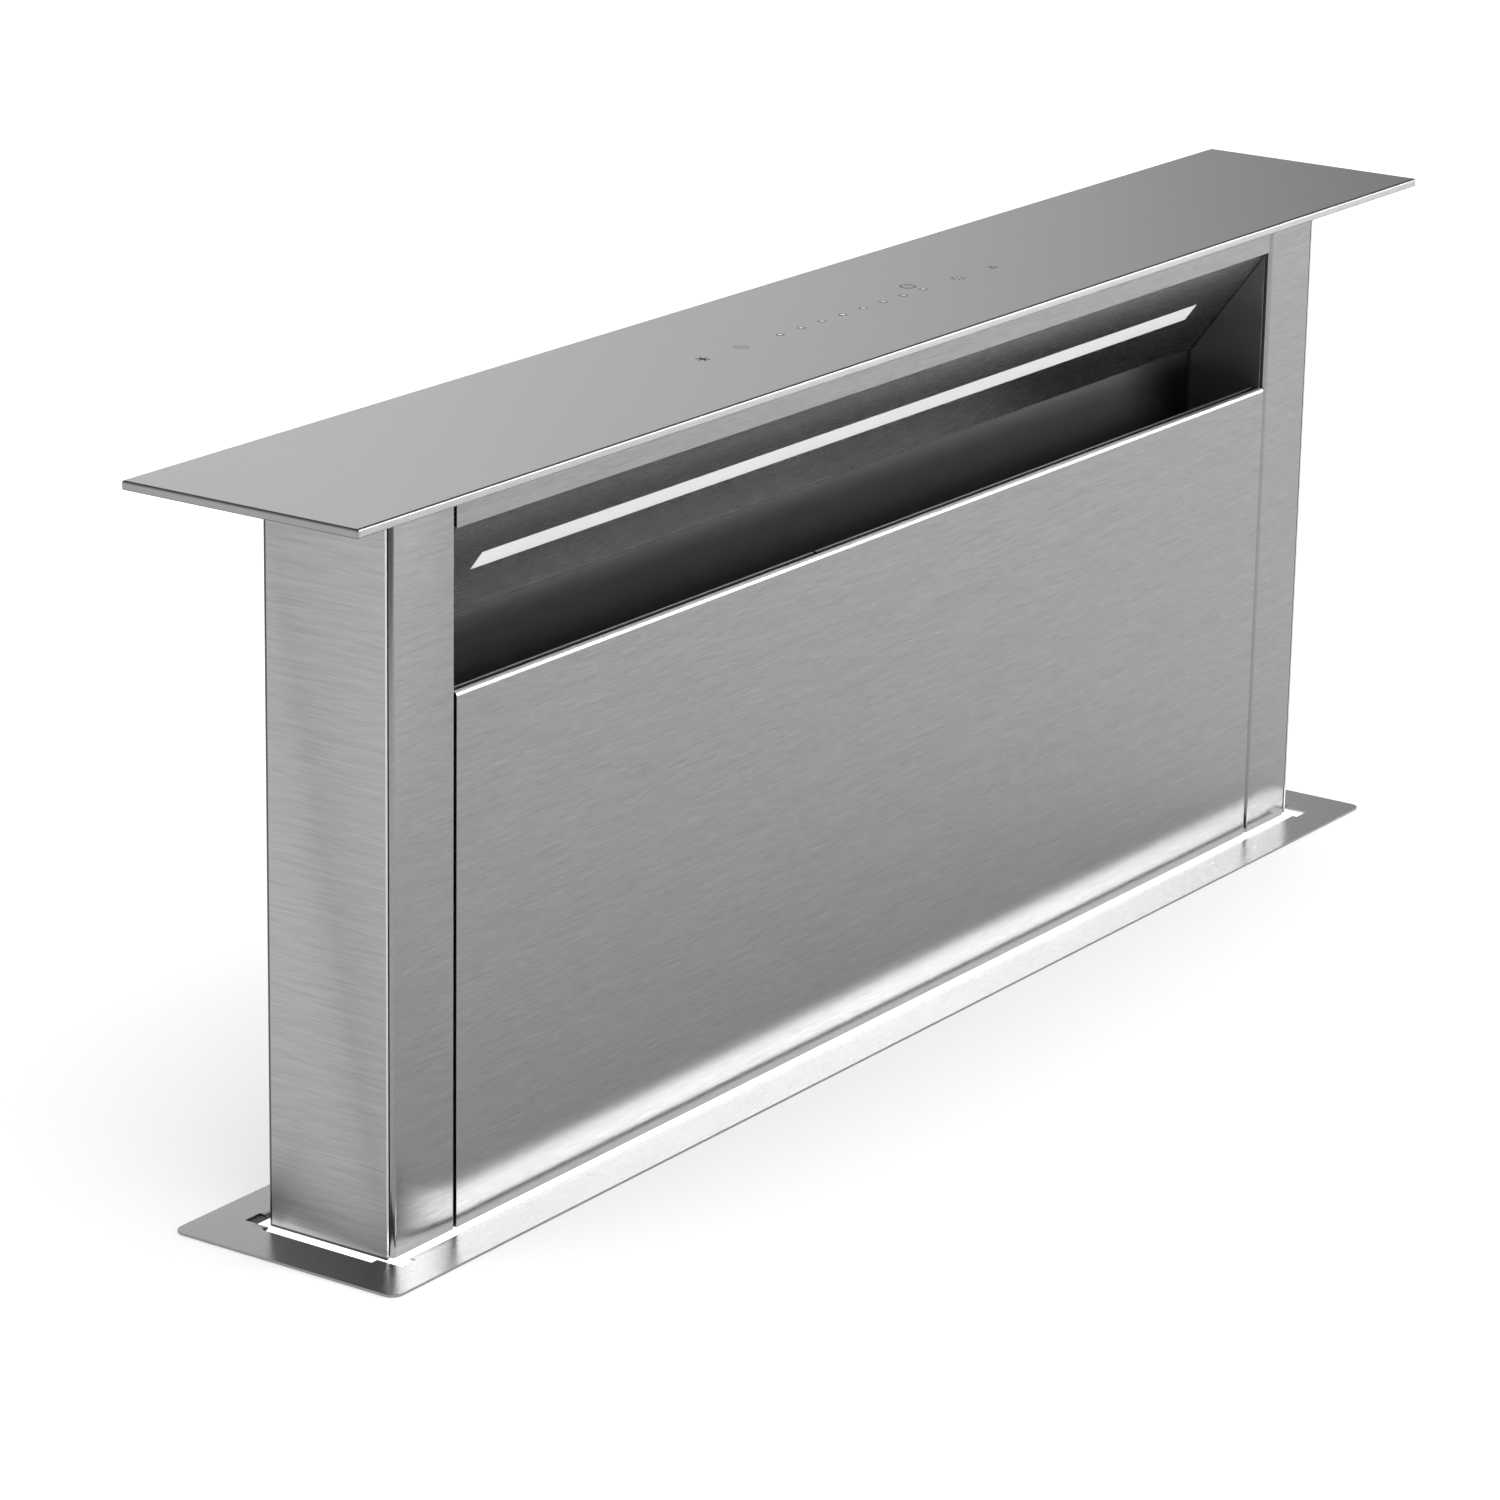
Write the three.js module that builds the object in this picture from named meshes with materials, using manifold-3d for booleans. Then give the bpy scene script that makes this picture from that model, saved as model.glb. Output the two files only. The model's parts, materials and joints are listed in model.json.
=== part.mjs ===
// Retractable downdraft vent for a worktop, in millimetres.
// X runs along the width, Y towards the back, Z up. The worktop's top face is z = 0, and the
// tower is modelled raised. The tower slides down through the worktop slot by LIFT_STROKE.
import * as THREE from 'three';
import { mergeVertices } from 'three/addons/utils/BufferGeometryUtils.js';
import Module from 'manifold-3d';

const wasm = await Module();
wasm.setup();

// ---------------------------------------------------------------- driving dimensions

const OVERCUT = 10; // how far a cutter runs past what it cuts
const FIT = 0.3; // gap between pieces that rest on each other
const LIFT_STROKE = 332.6;
const CAP_REST = 0.8; // height of the closed cap above the worktop flange

// cap
const CAP_W = 880;
const CAP_D = 123.4;
const CAP_EDGE = 4;
const CAP_SHEET = 1;
const CAP_ROUNDING = 0.7;
const CAP_END_OVERHANG = 54.7; // beyond the tower at each end
const CAP_SIDE_OVERHANG = 28.5;
const TOUCH_BOARD_W = 270;
const TOUCH_BOARD_D = 30;
const TOUCH_BOARD_T = 1.6;

// tower skin
const TOWER_W = CAP_W - 2 * CAP_END_OVERHANG;
const TOWER_D = CAP_D - 2 * CAP_SIDE_OVERHANG;
const TOWER_H = 394;
const COVER_SHEET = 1.5;
const COVER_RETURN = 18.4;
const SKIN_SHEET = 1.2;
const BEND_R = 0.8; // inside radius of the folds
const STILE_W = 42.1;
const STILE_RETURN = 14;
const STILE_GAP = 1.4; // shadow gap between side cover and stile
const SEAM_GAP = 1.7; // shadow gap between stile and front panel

// mouth and air duct
const HEADER_H = 22;
const HEADER_FLANGE = 13.2;
const MOUTH_H = 71;
const DUCT_BACK = 44.4; // from the tower's front face to the duct's back wall
const LINER_SHEET = 1.1;
const LINER_FLANGE = 10;
const SLOPE_ANGLE = 53.3; // of the light panel, from the horizontal, degrees
const BACK_WALL_OVERLAP = 18; // height of the duct's back wall behind the light panel

// light
const LAMP_MARGIN = 40.5; // from the lamp's ends to the mouth's sides
const LAMP_H = 11.3;
const LAMP_DEPTH = 21.2; // from the tower's front face to the lamp's middle
const LAMP_LENS_T = 1.5;
const LAMP_FLANGE = 2.4;
const LAMP_CHANNEL_H = 11;
const LAMP_FINS = 5;

// front panel
const PANEL_SHORTER = 10; // the panel stops this much above the tower's lower edge
const PANEL_RETURN = 6;
const HEM_T = 3;
const HEM_DROP = 9;
const INNER_SKIN_SHEET = 1;
const INNER_SKIN_SET = 5.6; // from the panel's face to the inner skins
const INNER_SKIN_FOOT = 4;
const INNER_SKIN_SPLIT = -63.6;
const INNER_SKIN_GAP = 1.8;
const INNER_SKIN_DROP = 0.3; // below the top of the hem

// filters
const FILTER_H = 205;
const FILTER_T = 9;
const FILTER_FRAME = 14;
const FILTER_SLOTS = 12;
const FILTER_TILT = 5.5;
const FILTER_TOP = 128; // below the cap
const FILTER_BACK = 40.5; // from the tower's front face to the filter's top edge
const REST_T = 1.5;
const REST_LIP = 8;
const REST_WEB = 20; // material at the middle and the ends, beside the windows
const REST_EDGE = 3;

// tower frame
const RAIL_SHEET = 1.5;
const TOP_RAIL_D = 24;
const TOP_RAIL_H = 16;
const BOTTOM_RAIL_D = 8.4;
const BOTTOM_RAIL_H = 20;
const FRAME_SHEET = 3;
const FRAME_FOOT = 6; // end frames below the lift parts that they carry
const FRAME_FLANGE = 30;
const FRAME_INSET = 1; // of the frame's edges from the stile and the shoe
const FRAME_SLOT = { w: 24, h: 60, r: 10, y: 4, places: [0.3, 0.55, 0.8] };

// lift
const SCREW_D = 12;
const JOURNAL_D = 10;
const JOURNAL_CLEARANCE = 0.5;
const JOURNAL_L = 13; // of the lower journal
const SCREW_CHAMFER = 0.6;
const SCREW_TOP_DROP = 2; // below the slot guide's top
const SHAFT_CHAMFER = 1;
const SCREW_OUT = 9.2; // from the side cover's face to the screw's axis
const NUT_H = 40;
const NUT_D = 24;
const NUT_R = 3;
const NUT_CLEARANCE = 1.5; // from the chassis end wall
const SHOE_H = 60;
const SHOE_DROP = 4; // shoes below the tower's skin
const SHOE_SPARE = 4; // least height between raised shoes and the slot guides
const SHOE_D = 15;
const SHOE_CLEARANCE = 1.8; // from the chassis end wall
const SHOE_CHAMFER = 1.5;
const RAIL_Y = 22;
const RAIL_BLADE = 6;
const RAIL_BASE = 22;
const RAIL_BASE_T = 1.5;
const RAIL_REACH = 7.7; // from the tower's end to the blade's tip
const RAIL_FOOT = 12; // above the gearbox
const RAIL_END_GAP = 2; // below the slot guide
const RAIL_CLEARANCE = 0.4;
const YOKE_H = 24;
const YOKE_DEPTH = 22; // below the worktop
const YOKE_REACH = 23;
const YOKE_CLEARANCE = 0.5;
const GEARBOX_W = 31;
const GEARBOX_D = 40;
const GEARBOX_H = 54;
const SHAFT_HEX = 10; // across flats
const SHAFT_HEIGHT = 24; // above the chassis floor
const SHAFT_INSERTION = 10;
const LIFT_MOTOR_X = 150;
const LIFT_MOTOR_R = 19;
const LIFT_MOTOR_H = 84;
const LIFT_MOTOR_NECK_R = 7;
const LIFT_MOTOR_NECK_H = 3;
const LIFT_HOUSING_W = 48;
const LIFT_HOUSING_D = 52;
const LIFT_HOUSING_R = 5;
const LIFT_HOUSING_UP = 24; // above the cross shaft's axis
const LIFT_BOSS_R = 14;
const LIFT_BOSS_L = 4;
const SHAFT_BORE_CLEARANCE = 1.4; // round the hexagon's flats
const GEARBOX_BOSS_R = 12;
const GEARBOX_BOSS_L = 5;
const GEARBOX_BOSS_H = 5;
const GEARBOX_R = 4;

// worktop flange and slot
const FLANGE_OUT = 31.1; // beyond the tower's ends
const FLANGE_SIDE = 27.5; // beyond the tower's faces
const FLANGE_W = TOWER_W + 2 * FLANGE_OUT;
const FLANGE_D = TOWER_D + 2 * FLANGE_SIDE;
const FLANGE_T = 1.2;
const FLANGE_R = 5.5;
const SLOT_END_GAP = 6.2; // tower's end to the end lips
const SLOT_SIDE_GAP = 5.6; // tower's faces to the long lips
const SLOT_LIP = 10;
const SLOT_LEG = 7;
const RELIEF_W = 10;
const RELIEF_INSET = 2.4; // from the slot's end
const LIP_TO_RELIEF = 2;
const RELIEF_D = 4;
const LIP_CLEAR = 9; // end lips stop this far from the long lips

// chassis
const CHASSIS_OUT = 19.7; // beyond the tower's ends
const CHASSIS_SIDE = 16.8; // beyond the tower's faces
const CHASSIS_W = TOWER_W + 2 * CHASSIS_OUT;
const CHASSIS_D = TOWER_D + 2 * CHASSIS_SIDE;
const CHASSIS_H = 560;
const CHASSIS_SHEET = 1.2;
const CHASSIS_FLANGE = 14;
const CHASSIS_DROP = 3; // top edge below the worktop flange
const CHASSIS_RELIEF = 5.2; // upright walls end this far down, beside the folded top edge
const FLOOR_LIP = 12;
const WORKTOP_T = 40;
const BRACKET_SLOT = { w: 6, h: 24, r: 2.9 };
const BRACKET_SHEET = 2;
const BRACKET_W = 50;
const BRACKET_OUT = 30;
const BRACKET_DROP = 60;

// blower
const BLOWER_X = 10;
const BLOWER_Z = -330;
const WHEEL_R = 94.5;
const WHEEL_CORE_R = 78;
const WHEEL_BLADES = 36;
const BLADE_T = 1.1;
const BLADE_LEAN = 8.5; // degrees that a blade leans forward
const BLADE_STEPS = 3;
const WHEEL_FRONT = 95; // wheel's disc, from the scroll's inlet plate
const WHEEL_INLET = 13; // wheel's inlet ring, from the scroll's inlet plate
const WHEEL_RING_PROUD = 0.4; // of the blades
const BLADE_LAP = [0.6, 1]; // how far the blades reach into the ring and the disc
const WHEEL_RING_T = 3;
const WHEEL_DISC_T = 2;
const HUB_R = 16;
const HUB_L = 29;
const SCROLL_R = 107;
const SCROLL_END_R = 158;
const SCROLL_D = 110;
const SCROLL_SHEET = 1.2;
const TONGUE_ANGLE = 150;
const SCROLL_SWEEP = 300;
const SCROLL_STEPS = 25;
const OUTLET_REACH = 150;
const COVER_FLANGE = 7;
const INLET_R = 79;
const INLET_THROAT_R = 72;
const BELL_LAP = 3; // of the bell mouth on the inlet plate
const BELL_ROUND = [2, 4]; // where the bell's outer and inner curves leave the plate
const BELL_DEPTH = 11;
const MOTOR_R = 52;
const MOTOR_L = 58;
const MOTOR_SHAFT_D = 8;
const MOTOR_SHAFT_REACH = 3; // beyond the hub's end
const MOTOR_SHAFT_SEAT = 30; // inside the motor
const MOTOR_PILOT_R = 22;
const MOTOR_FLANGE = 8;
const MOTOR_FLANGE_T = 2.5;
const MOTOR_RIBS = 12;
const MOTOR_CAP_CHAMFER = 6;
const MOTOR_BORE_SPARE = 2; // beyond the shaft's end
const MOTOR_RIB_T = 2.4;
const TERMINAL_W = 32;
const TERMINAL_L = 28;
const TERMINAL_OUT = 16;
const TERMINAL_SET = 12; // from the motor's mounting face
const SHAFT_CLEARANCE = 0.3;

// duct adapter and backdraft damper
const DUCT_D = 150;
const DUCT_WALL = 2;
const DUCT_TAPER = 50;
const DUCT_COLLAR = 60;
const DUCT_SET = 80; // duct axis in front of the scroll's inlet plate
const DUCT_SIDES = 32;
const DUCT_NECK = 6; // straight part before the taper
const DUCT_BEAD = { set: 14, half: 4, proud: 1.5 };
const ADAPTER_FLANGE = { t: 2.5, out: 8, inset: 0.5, wall: 1.5 };
const DAMPER_SET = 22; // damper pin beyond the end of the taper
const PIN_INSET = 1; // from the collar's outside
const PIN_D = 4;
const KNUCKLE_D = 8;
const KNUCKLE_L = 20;
const FLAP_T = 1.2;
const FLAP_CLEARANCE = 2;

// electronics
const BOX_MARGIN = 20; // from the chassis's end
const BOX_Z = -330;
const BOX_W = 170;
const BOX_H = 210;
const BOX_D = 48;
const BOX_SHEET = 1.5;
const BOARD_T = 1.6;
const BOARD_INSET = 6; // from the box's walls
const BOARD_POST_R = 3;
const BOARD_POST_L = 6;
// Middle x and z, width, height and depth of each component, as shares of the box.
const BOARD_COMPONENTS = [
  [-0.206, 0.248, 0.306, 0.21, 0.583], // transformer
  [-0.265, -0.095, 0.094, 0.124, 0.354], // relays
  [-0.112, -0.095, 0.094, 0.124, 0.354],
  [0.041, -0.095, 0.094, 0.124, 0.354],
  [0.191, -0.343, 0.353, 0.067, 0.27], // terminal block
  [0.224, 0.214, 0.176, 0.143, 0.188], // heat sink
];
const GLAND_R = 9;
const GLAND_L = 18;

// ---------------------------------------------------------------- derived places

const capBottom = FLANGE_T + CAP_REST + LIFT_STROKE; // the tower's own z = 0
const towerEnd = TOWER_W / 2;
const towerFront = -TOWER_D / 2;
const towerBack = TOWER_D / 2;
const stileOuter = towerEnd - COVER_SHEET - STILE_GAP;
const stileInner = stileOuter - STILE_W;
const panelEnd = stileInner - SEAM_GAP;
const lampHalf = panelEnd - LAMP_MARGIN;
const linerX = panelEnd + FIT;
const ductBack = towerFront + DUCT_BACK;
const mouthSill = -HEADER_H - MOUTH_H;
const panelBottom = -TOWER_H + PANEL_SHORTER;
const slopeRise = Math.tan(THREE.MathUtils.degToRad(SLOPE_ANGLE));
const headerBack = towerFront + SKIN_SHEET;
const lightPanelFace = headerBack + FIT;
const slopeTop = -HEADER_H - FIT;
const lampY = towerFront + LAMP_DEPTH;
const lampZ = slopeTop - (lampY - lightPanelFace) * slopeRise;
const slopeEndY = ductBack - FIT - SKIN_SHEET * Math.sin(THREE.MathUtils.degToRad(SLOPE_ANGLE));
const slopeEndZ = slopeTop - (slopeEndY - lightPanelFace) * slopeRise;
const frameFace = towerEnd - COVER_SHEET - FIT;
const frameInner = frameFace - FRAME_SHEET;
const shoeTop = Math.min(
  -TOWER_H - SHOE_DROP, -capBottom - YOKE_DEPTH - YOKE_H - SHOE_SPARE);
const frameBottom = shoeTop - SHOE_H - FRAME_FOOT;
const screwX = towerEnd + SCREW_OUT;
const slotX = towerEnd + SLOT_END_GAP;
const slotY = towerBack + SLOT_SIDE_GAP;
const lipOutsideX = slotX + FLANGE_T + FIT; // where the chassis meets the slot's lips
const lipOutsideY = slotY + FLANGE_T + FIT;
const chassisEnd = CHASSIS_W / 2;
const chassisFront = -CHASSIS_D / 2;
const endWallInner = chassisEnd - CHASSIS_SHEET;
const pocketEnd = endWallInner - FIT;
const wallInner = CHASSIS_D / 2 - CHASSIS_SHEET;
const floorTop = -CHASSIS_H + 2 * CHASSIS_SHEET + FIT;
const shaftZ = floorTop + SHAFT_HEIGHT;
const boreR = (SCREW_D / 2 + JOURNAL_CLEARANCE);
const journalBoreR = JOURNAL_D / 2 + JOURNAL_CLEARANCE;

// ---------------------------------------------------------------- materials

const finish = (color, roughness, metalness) =>
  new THREE.MeshStandardMaterial({ color, roughness, metalness });
const brushedSteel = finish(0xb4b5b6, 0.32, 1);
const darkSteel = finish(0x4b4c4e, 0.4, 1);
const zincSheet = finish(0xa7abad, 0.45, 0.9);
const aluminium = finish(0xc4c6c8, 0.35, 1);
const screwSteel = finish(0x8d9092, 0.25, 1);
const blackPlastic = finish(0x17181a, 0.5, 0);
const greyPlastic = finish(0x6f7377, 0.55, 0);
const whiteNylon = finish(0xe7e6e0, 0.5, 0);
const opalPlastic = finish(0xf4f4f0, 0.4, 0);
const circuitBoard = finish(0x1f5a3a, 0.5, 0);

// ---------------------------------------------------------------- shaping helpers

// Merges shared corners, drops faces that shrank to a line and turns the body's faces outwards.
function tidy(geometry) {
  const bare = new THREE.BufferGeometry();
  bare.setAttribute('position', geometry.getAttribute('position').clone());
  if (geometry.index) bare.setIndex(geometry.index.clone());
  const merged = mergeVertices(bare, 1e-4);
  const faces = [];
  const corner = [new THREE.Vector3(), new THREE.Vector3(), new THREE.Vector3()];
  let volume = 0;
  for (let i = 0; i < merged.index.count; i += 3) {
    const [a, b, c] = [0, 1, 2].map((k) => merged.index.getX(i + k));
    if (a === b || b === c || c === a) continue;
    [a, b, c].forEach((v, k) => corner[k].fromBufferAttribute(merged.attributes.position, v));
    volume += corner[0].dot(corner[1].clone().cross(corner[2]));
    faces.push(a, b, c);
  }
  merged.setIndex(volume < 0 ? faces.reverse() : faces);
  return merged;
}

function toManifold(geometry) {
  const mesh = tidy(geometry);
  return new wasm.Manifold(new wasm.Mesh({
    numProp: 3,
    vertProperties: Float32Array.from(mesh.attributes.position.array),
    triVerts: Uint32Array.from(mesh.index.array),
  }));
}

function toGeometry(manifold) {
  const mesh = manifold.getMesh();
  const geometry = new THREE.BufferGeometry();
  geometry.setAttribute('position', new THREE.BufferAttribute(mesh.vertProperties, 3));
  geometry.setIndex(new THREE.BufferAttribute(mesh.triVerts, 1));
  return geometry;
}

const join = (...parts) => toGeometry(parts.map(toManifold).reduce((a, b) => a.add(b)));

const cut = (base, ...tools) =>
  toGeometry(tools.map(toManifold).reduce((a, b) => a.subtract(b), toManifold(base)));

function block(x0, x1, y0, y1, z0, z1) {
  const box = new THREE.BoxGeometry(x1 - x0, y1 - y0, z1 - z0);
  return box.translate((x0 + x1) / 2, (y0 + y1) / 2, (z0 + z1) / 2);
}

const outline = (points) => new THREE.Shape(points.map(([a, b]) => new THREE.Vector2(a, b)));

function extrudeZ(shape, z0, z1, curveSegments = 3) {
  const options = { depth: z1 - z0, bevelEnabled: false, curveSegments };
  return new THREE.ExtrudeGeometry(shape, options).translate(0, 0, z0);
}

// The outline's two coordinates are (y, z).
function extrudeX(shape, x0, x1) {
  const turn = new THREE.Matrix4().makeBasis(
    new THREE.Vector3(0, 1, 0), new THREE.Vector3(0, 0, 1), new THREE.Vector3(1, 0, 0));
  return extrudeZ(shape, x0, x1).applyMatrix4(turn);
}

// The outline's two coordinates are (x, z).
const extrudeY = (shape, y0, y1) => extrudeZ(shape, -y1, -y0).rotateX(Math.PI / 2);

// A turned body round the Z axis, from [radius, z] points.
function turned(profile, segments = 32) {
  const points = profile.map(([r, z]) => new THREE.Vector2(r, z));
  return tidy(new THREE.LatheGeometry(points, segments).rotateX(Math.PI / 2));
}

const rod = (radius, z0, z1, segments = 24) =>
  turned([[0, z0], [radius, z0], [radius, z1], [0, z1]], segments);

const rodX = (radius, x0, x1, segments = 24) => rod(radius, x0, x1, segments).rotateY(Math.PI / 2);

// One side of a folded sheet: the path through the corners, moved to the left by `shift`,
// with an arc at each fold.
function foldedSide(corners, shift, thickness, inside, steps) {
  const points = [];
  const at = (k) => new THREE.Vector2(...corners[k]);
  const heading = (k) => at(k + 1).sub(at(k)).normalize();
  const left = (d) => new THREE.Vector2(-d.y, d.x);
  const last = corners.length - 1;
  points.push(at(0).addScaledVector(left(heading(0)), shift));
  for (let k = 1; k < last; k += 1) {
    const [n0, n1] = [left(heading(k - 1)), left(heading(k))];
    const turnsLeft = n0.cross(n1) > 0;
    const centreShift = turnsLeft ? inside + thickness : -inside;
    const radius = turnsLeft ? centreShift - shift : inside + shift;
    const bisector = n0.clone().add(n1).normalize();
    const centre = at(k).addScaledVector(bisector, centreShift / bisector.dot(n0));
    const outward = turnsLeft ? -1 : 1;
    for (let s = 0; s <= steps; s += 1) {
      const direction = n0.clone().lerp(n1, s / steps).normalize();
      points.push(centre.clone().addScaledVector(direction, outward * radius));
    }
  }
  points.push(at(last).addScaledVector(left(heading(last - 1)), shift));
  return points;
}

// Section of a folded sheet. The corners lie on one face and the sheet is on that face's left.
function sheet(corners, thickness, inside = BEND_R, steps = 3) {
  const face = foldedSide(corners, 0, thickness, inside, steps);
  const back = foldedSide(corners, thickness, thickness, inside, steps).reverse();
  return new THREE.Shape([...face, ...back]);
}

function roundedRectangle(halfW, halfD, r) {
  const shape = new THREE.Shape();
  shape.moveTo(-halfW + r, -halfD);
  shape.absarc(halfW - r, -halfD + r, r, -Math.PI / 2, 0);
  shape.absarc(halfW - r, halfD - r, r, 0, Math.PI / 2);
  shape.absarc(-halfW + r, halfD - r, r, Math.PI / 2, Math.PI);
  shape.absarc(-halfW + r, -halfD + r, r, Math.PI, 1.5 * Math.PI);
  return shape;
}

function mirroredX(geometry) {
  const copy = tidy(geometry);
  return tidy(copy.applyMatrix4(new THREE.Matrix4().makeScale(-1, 1, 1)));
}

function add(group, name, geometry, material) {
  const solid = tidy(geometry).toNonIndexed();
  solid.computeVertexNormals();
  const mesh = new THREE.Mesh(solid, material);
  mesh.name = name;
  group.add(mesh);
  return mesh;
}

// The piece as made for the right-hand end, and its mirror image at the left-hand end.
function addPair(group, name, geometry, material) {
  add(group, `${name}_right`, geometry, material);
  add(group, `${name}_left`, mirroredX(geometry), material);
}

// ---------------------------------------------------------------- tower: cap

function topCap() {
  const half = [CAP_W / 2, CAP_D / 2];
  const plan = block(-half[0], half[0], -half[1], half[1], 0, CAP_EDGE);
  const rim = outline([
    [-half[0] + CAP_ROUNDING, -half[1] + CAP_ROUNDING],
    [half[0] - CAP_ROUNDING, -half[1] + CAP_ROUNDING],
    [half[0] - CAP_ROUNDING, half[1] - CAP_ROUNDING],
    [-half[0] + CAP_ROUNDING, half[1] - CAP_ROUNDING],
  ]);
  const softened = new THREE.ExtrudeGeometry(rim, {
    depth: CAP_EDGE,
    bevelThickness: CAP_ROUNDING,
    bevelSize: CAP_ROUNDING,
    bevelSegments: 2,
  }).translate(0, 0, -CAP_ROUNDING);
  const inner = half.map((h) => h - CAP_SHEET);
  const hollow = block(-inner[0], inner[0], -inner[1], inner[1], -CAP_EDGE, CAP_EDGE - CAP_SHEET);
  const pan = toManifold(plan).intersect(toManifold(softened)).subtract(toManifold(hollow));
  return toGeometry(pan);
}

const touchWindow = { w: TOUCH_BOARD_W / 2 + FIT, d: TOUCH_BOARD_D / 2 + FIT };

function capBacking() {
  const [w, d] = [CAP_W / 2 - CAP_SHEET - FIT, CAP_D / 2 - CAP_SHEET - FIT];
  const plate = block(-w, w, -d, d, 0, CAP_EDGE - CAP_SHEET - FIT);
  return cut(plate, block(-touchWindow.w, touchWindow.w, -touchWindow.d, touchWindow.d, -1, CAP_EDGE));
}

function touchBoard() {
  const top = CAP_EDGE - CAP_SHEET - FIT;
  const [w, d] = [TOUCH_BOARD_W / 2, TOUCH_BOARD_D / 2];
  const notch = rod(d / 3, 0, CAP_EDGE, 16).translate(w, 0, 0);
  const board = block(-w, w, -d, d, top - TOUCH_BOARD_T, top);
  return cut(board, notch, mirroredX(notch));
}

// ---------------------------------------------------------------- tower: skin

function sideCover() {
  const corners = [
    [towerEnd, towerFront],
    [towerEnd, towerBack],
    [towerEnd - COVER_RETURN, towerBack],
  ];
  return extrudeZ(sheet(corners, COVER_SHEET), -TOWER_H, -FIT);
}

function frontStile() {
  const corners = [
    [stileInner, towerFront + STILE_RETURN],
    [stileInner, towerFront],
    [stileOuter, towerFront],
    [stileOuter, towerFront + STILE_RETURN],
  ];
  return extrudeZ(sheet(corners, SKIN_SHEET), -TOWER_H, -FIT);
}

function headerStrip() {
  const corners = [
    [towerFront + HEADER_FLANGE, -FIT],
    [towerFront, -FIT],
    [towerFront, -HEADER_H],
  ];
  return extrudeX(sheet(corners, SKIN_SHEET), -panelEnd, panelEnd);
}

function rearPanel() {
  const x = towerEnd - COVER_RETURN - FIT;
  const corners = [
    [x, towerBack - COVER_SHEET * 6],
    [x, towerBack],
    [-x, towerBack],
    [-x, towerBack - COVER_SHEET * 6],
  ];
  return extrudeZ(sheet(corners, SKIN_SHEET), -TOWER_H, -FIT);
}

// ---------------------------------------------------------------- tower: mouth and light

function mouthSide() {
  const back = ductBack + 2 * SKIN_SHEET + FIT;
  const corners = [
    [linerX + LINER_FLANGE, back],
    [linerX, back],
    [linerX, lightPanelFace + SKIN_SHEET + FIT],
  ];
  return extrudeZ(sheet(corners, LINER_SHEET), -TOWER_H, -FIT);
}

function ductBackWall() {
  const top = slopeEndZ + BACK_WALL_OVERLAP;
  const stiffener = 9;
  const corners = [
    [ductBack, -TOWER_H],
    [ductBack, top],
    [ductBack + stiffener, top],
  ];
  const section = sheet(corners.reverse(), SKIN_SHEET);
  return extrudeX(section, -panelEnd, panelEnd);
}

// The lamp's own frame: x along the tower, y down the slope, z into the tower.
const lampMatrix = new THREE.Matrix4()
  .makeRotationX(-THREE.MathUtils.degToRad(SLOPE_ANGLE))
  .setPosition(0, lampY, lampZ);

function lightPanel() {
  const hookTop = -SKIN_SHEET - 2 * FIT - BEND_R;
  const corners = [
    [lightPanelFace, hookTop],
    [lightPanelFace, slopeTop],
    [slopeEndY, slopeEndZ],
  ];
  const plate = extrudeX(sheet(corners, SKIN_SHEET), -panelEnd, panelEnd);
  const window = block(-lampHalf, lampHalf, -LAMP_H / 2, LAMP_H / 2, -CAP_EDGE, CAP_EDGE);
  return cut(plate, window.applyMatrix4(lampMatrix));
}

function lampDiffuser() {
  const [w, h] = [lampHalf - FIT, LAMP_H / 2 - FIT];
  const seat = SKIN_SHEET + FIT;
  const lens = block(-w, w, -h, h, 0, seat + LAMP_LENS_T);
  const wings = block(
    -w - LAMP_FLANGE, w + LAMP_FLANGE, -h - LAMP_FLANGE, h + LAMP_FLANGE, seat, seat + LAMP_LENS_T);
  return join(lens, wings);
}

// Extruded channel, open towards the diffuser, with cooling fins on its back.
function lampChannel() {
  const front = SKIN_SHEET + LAMP_LENS_T + 2 * FIT;
  const half = LAMP_H / 2 + LAMP_FLANGE - FIT;
  const back = front + LAMP_CHANNEL_H;
  const web = 1.8;
  const points = [[-half, front], [-half, back]];
  const pitch = (2 * half) / (2 * LAMP_FINS - 1);
  for (let fin = 0; fin < LAMP_FINS; fin += 1) {
    const y = -half + 2 * fin * pitch;
    points.push([y, back + web], [y + pitch, back + web]);
    if (fin < LAMP_FINS - 1) points.push([y + pitch, back], [y + 2 * pitch, back]);
  }
  points.push([half, front], [half - web, front], [half - web, back - web]);
  points.push([-half + web, back - web], [-half + web, front]);
  const length = lampHalf + LAMP_FLANGE - FIT;
  return extrudeX(outline(points.filter((p, k) => k !== 1)), -length, length);
}

// ---------------------------------------------------------------- front panel

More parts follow.
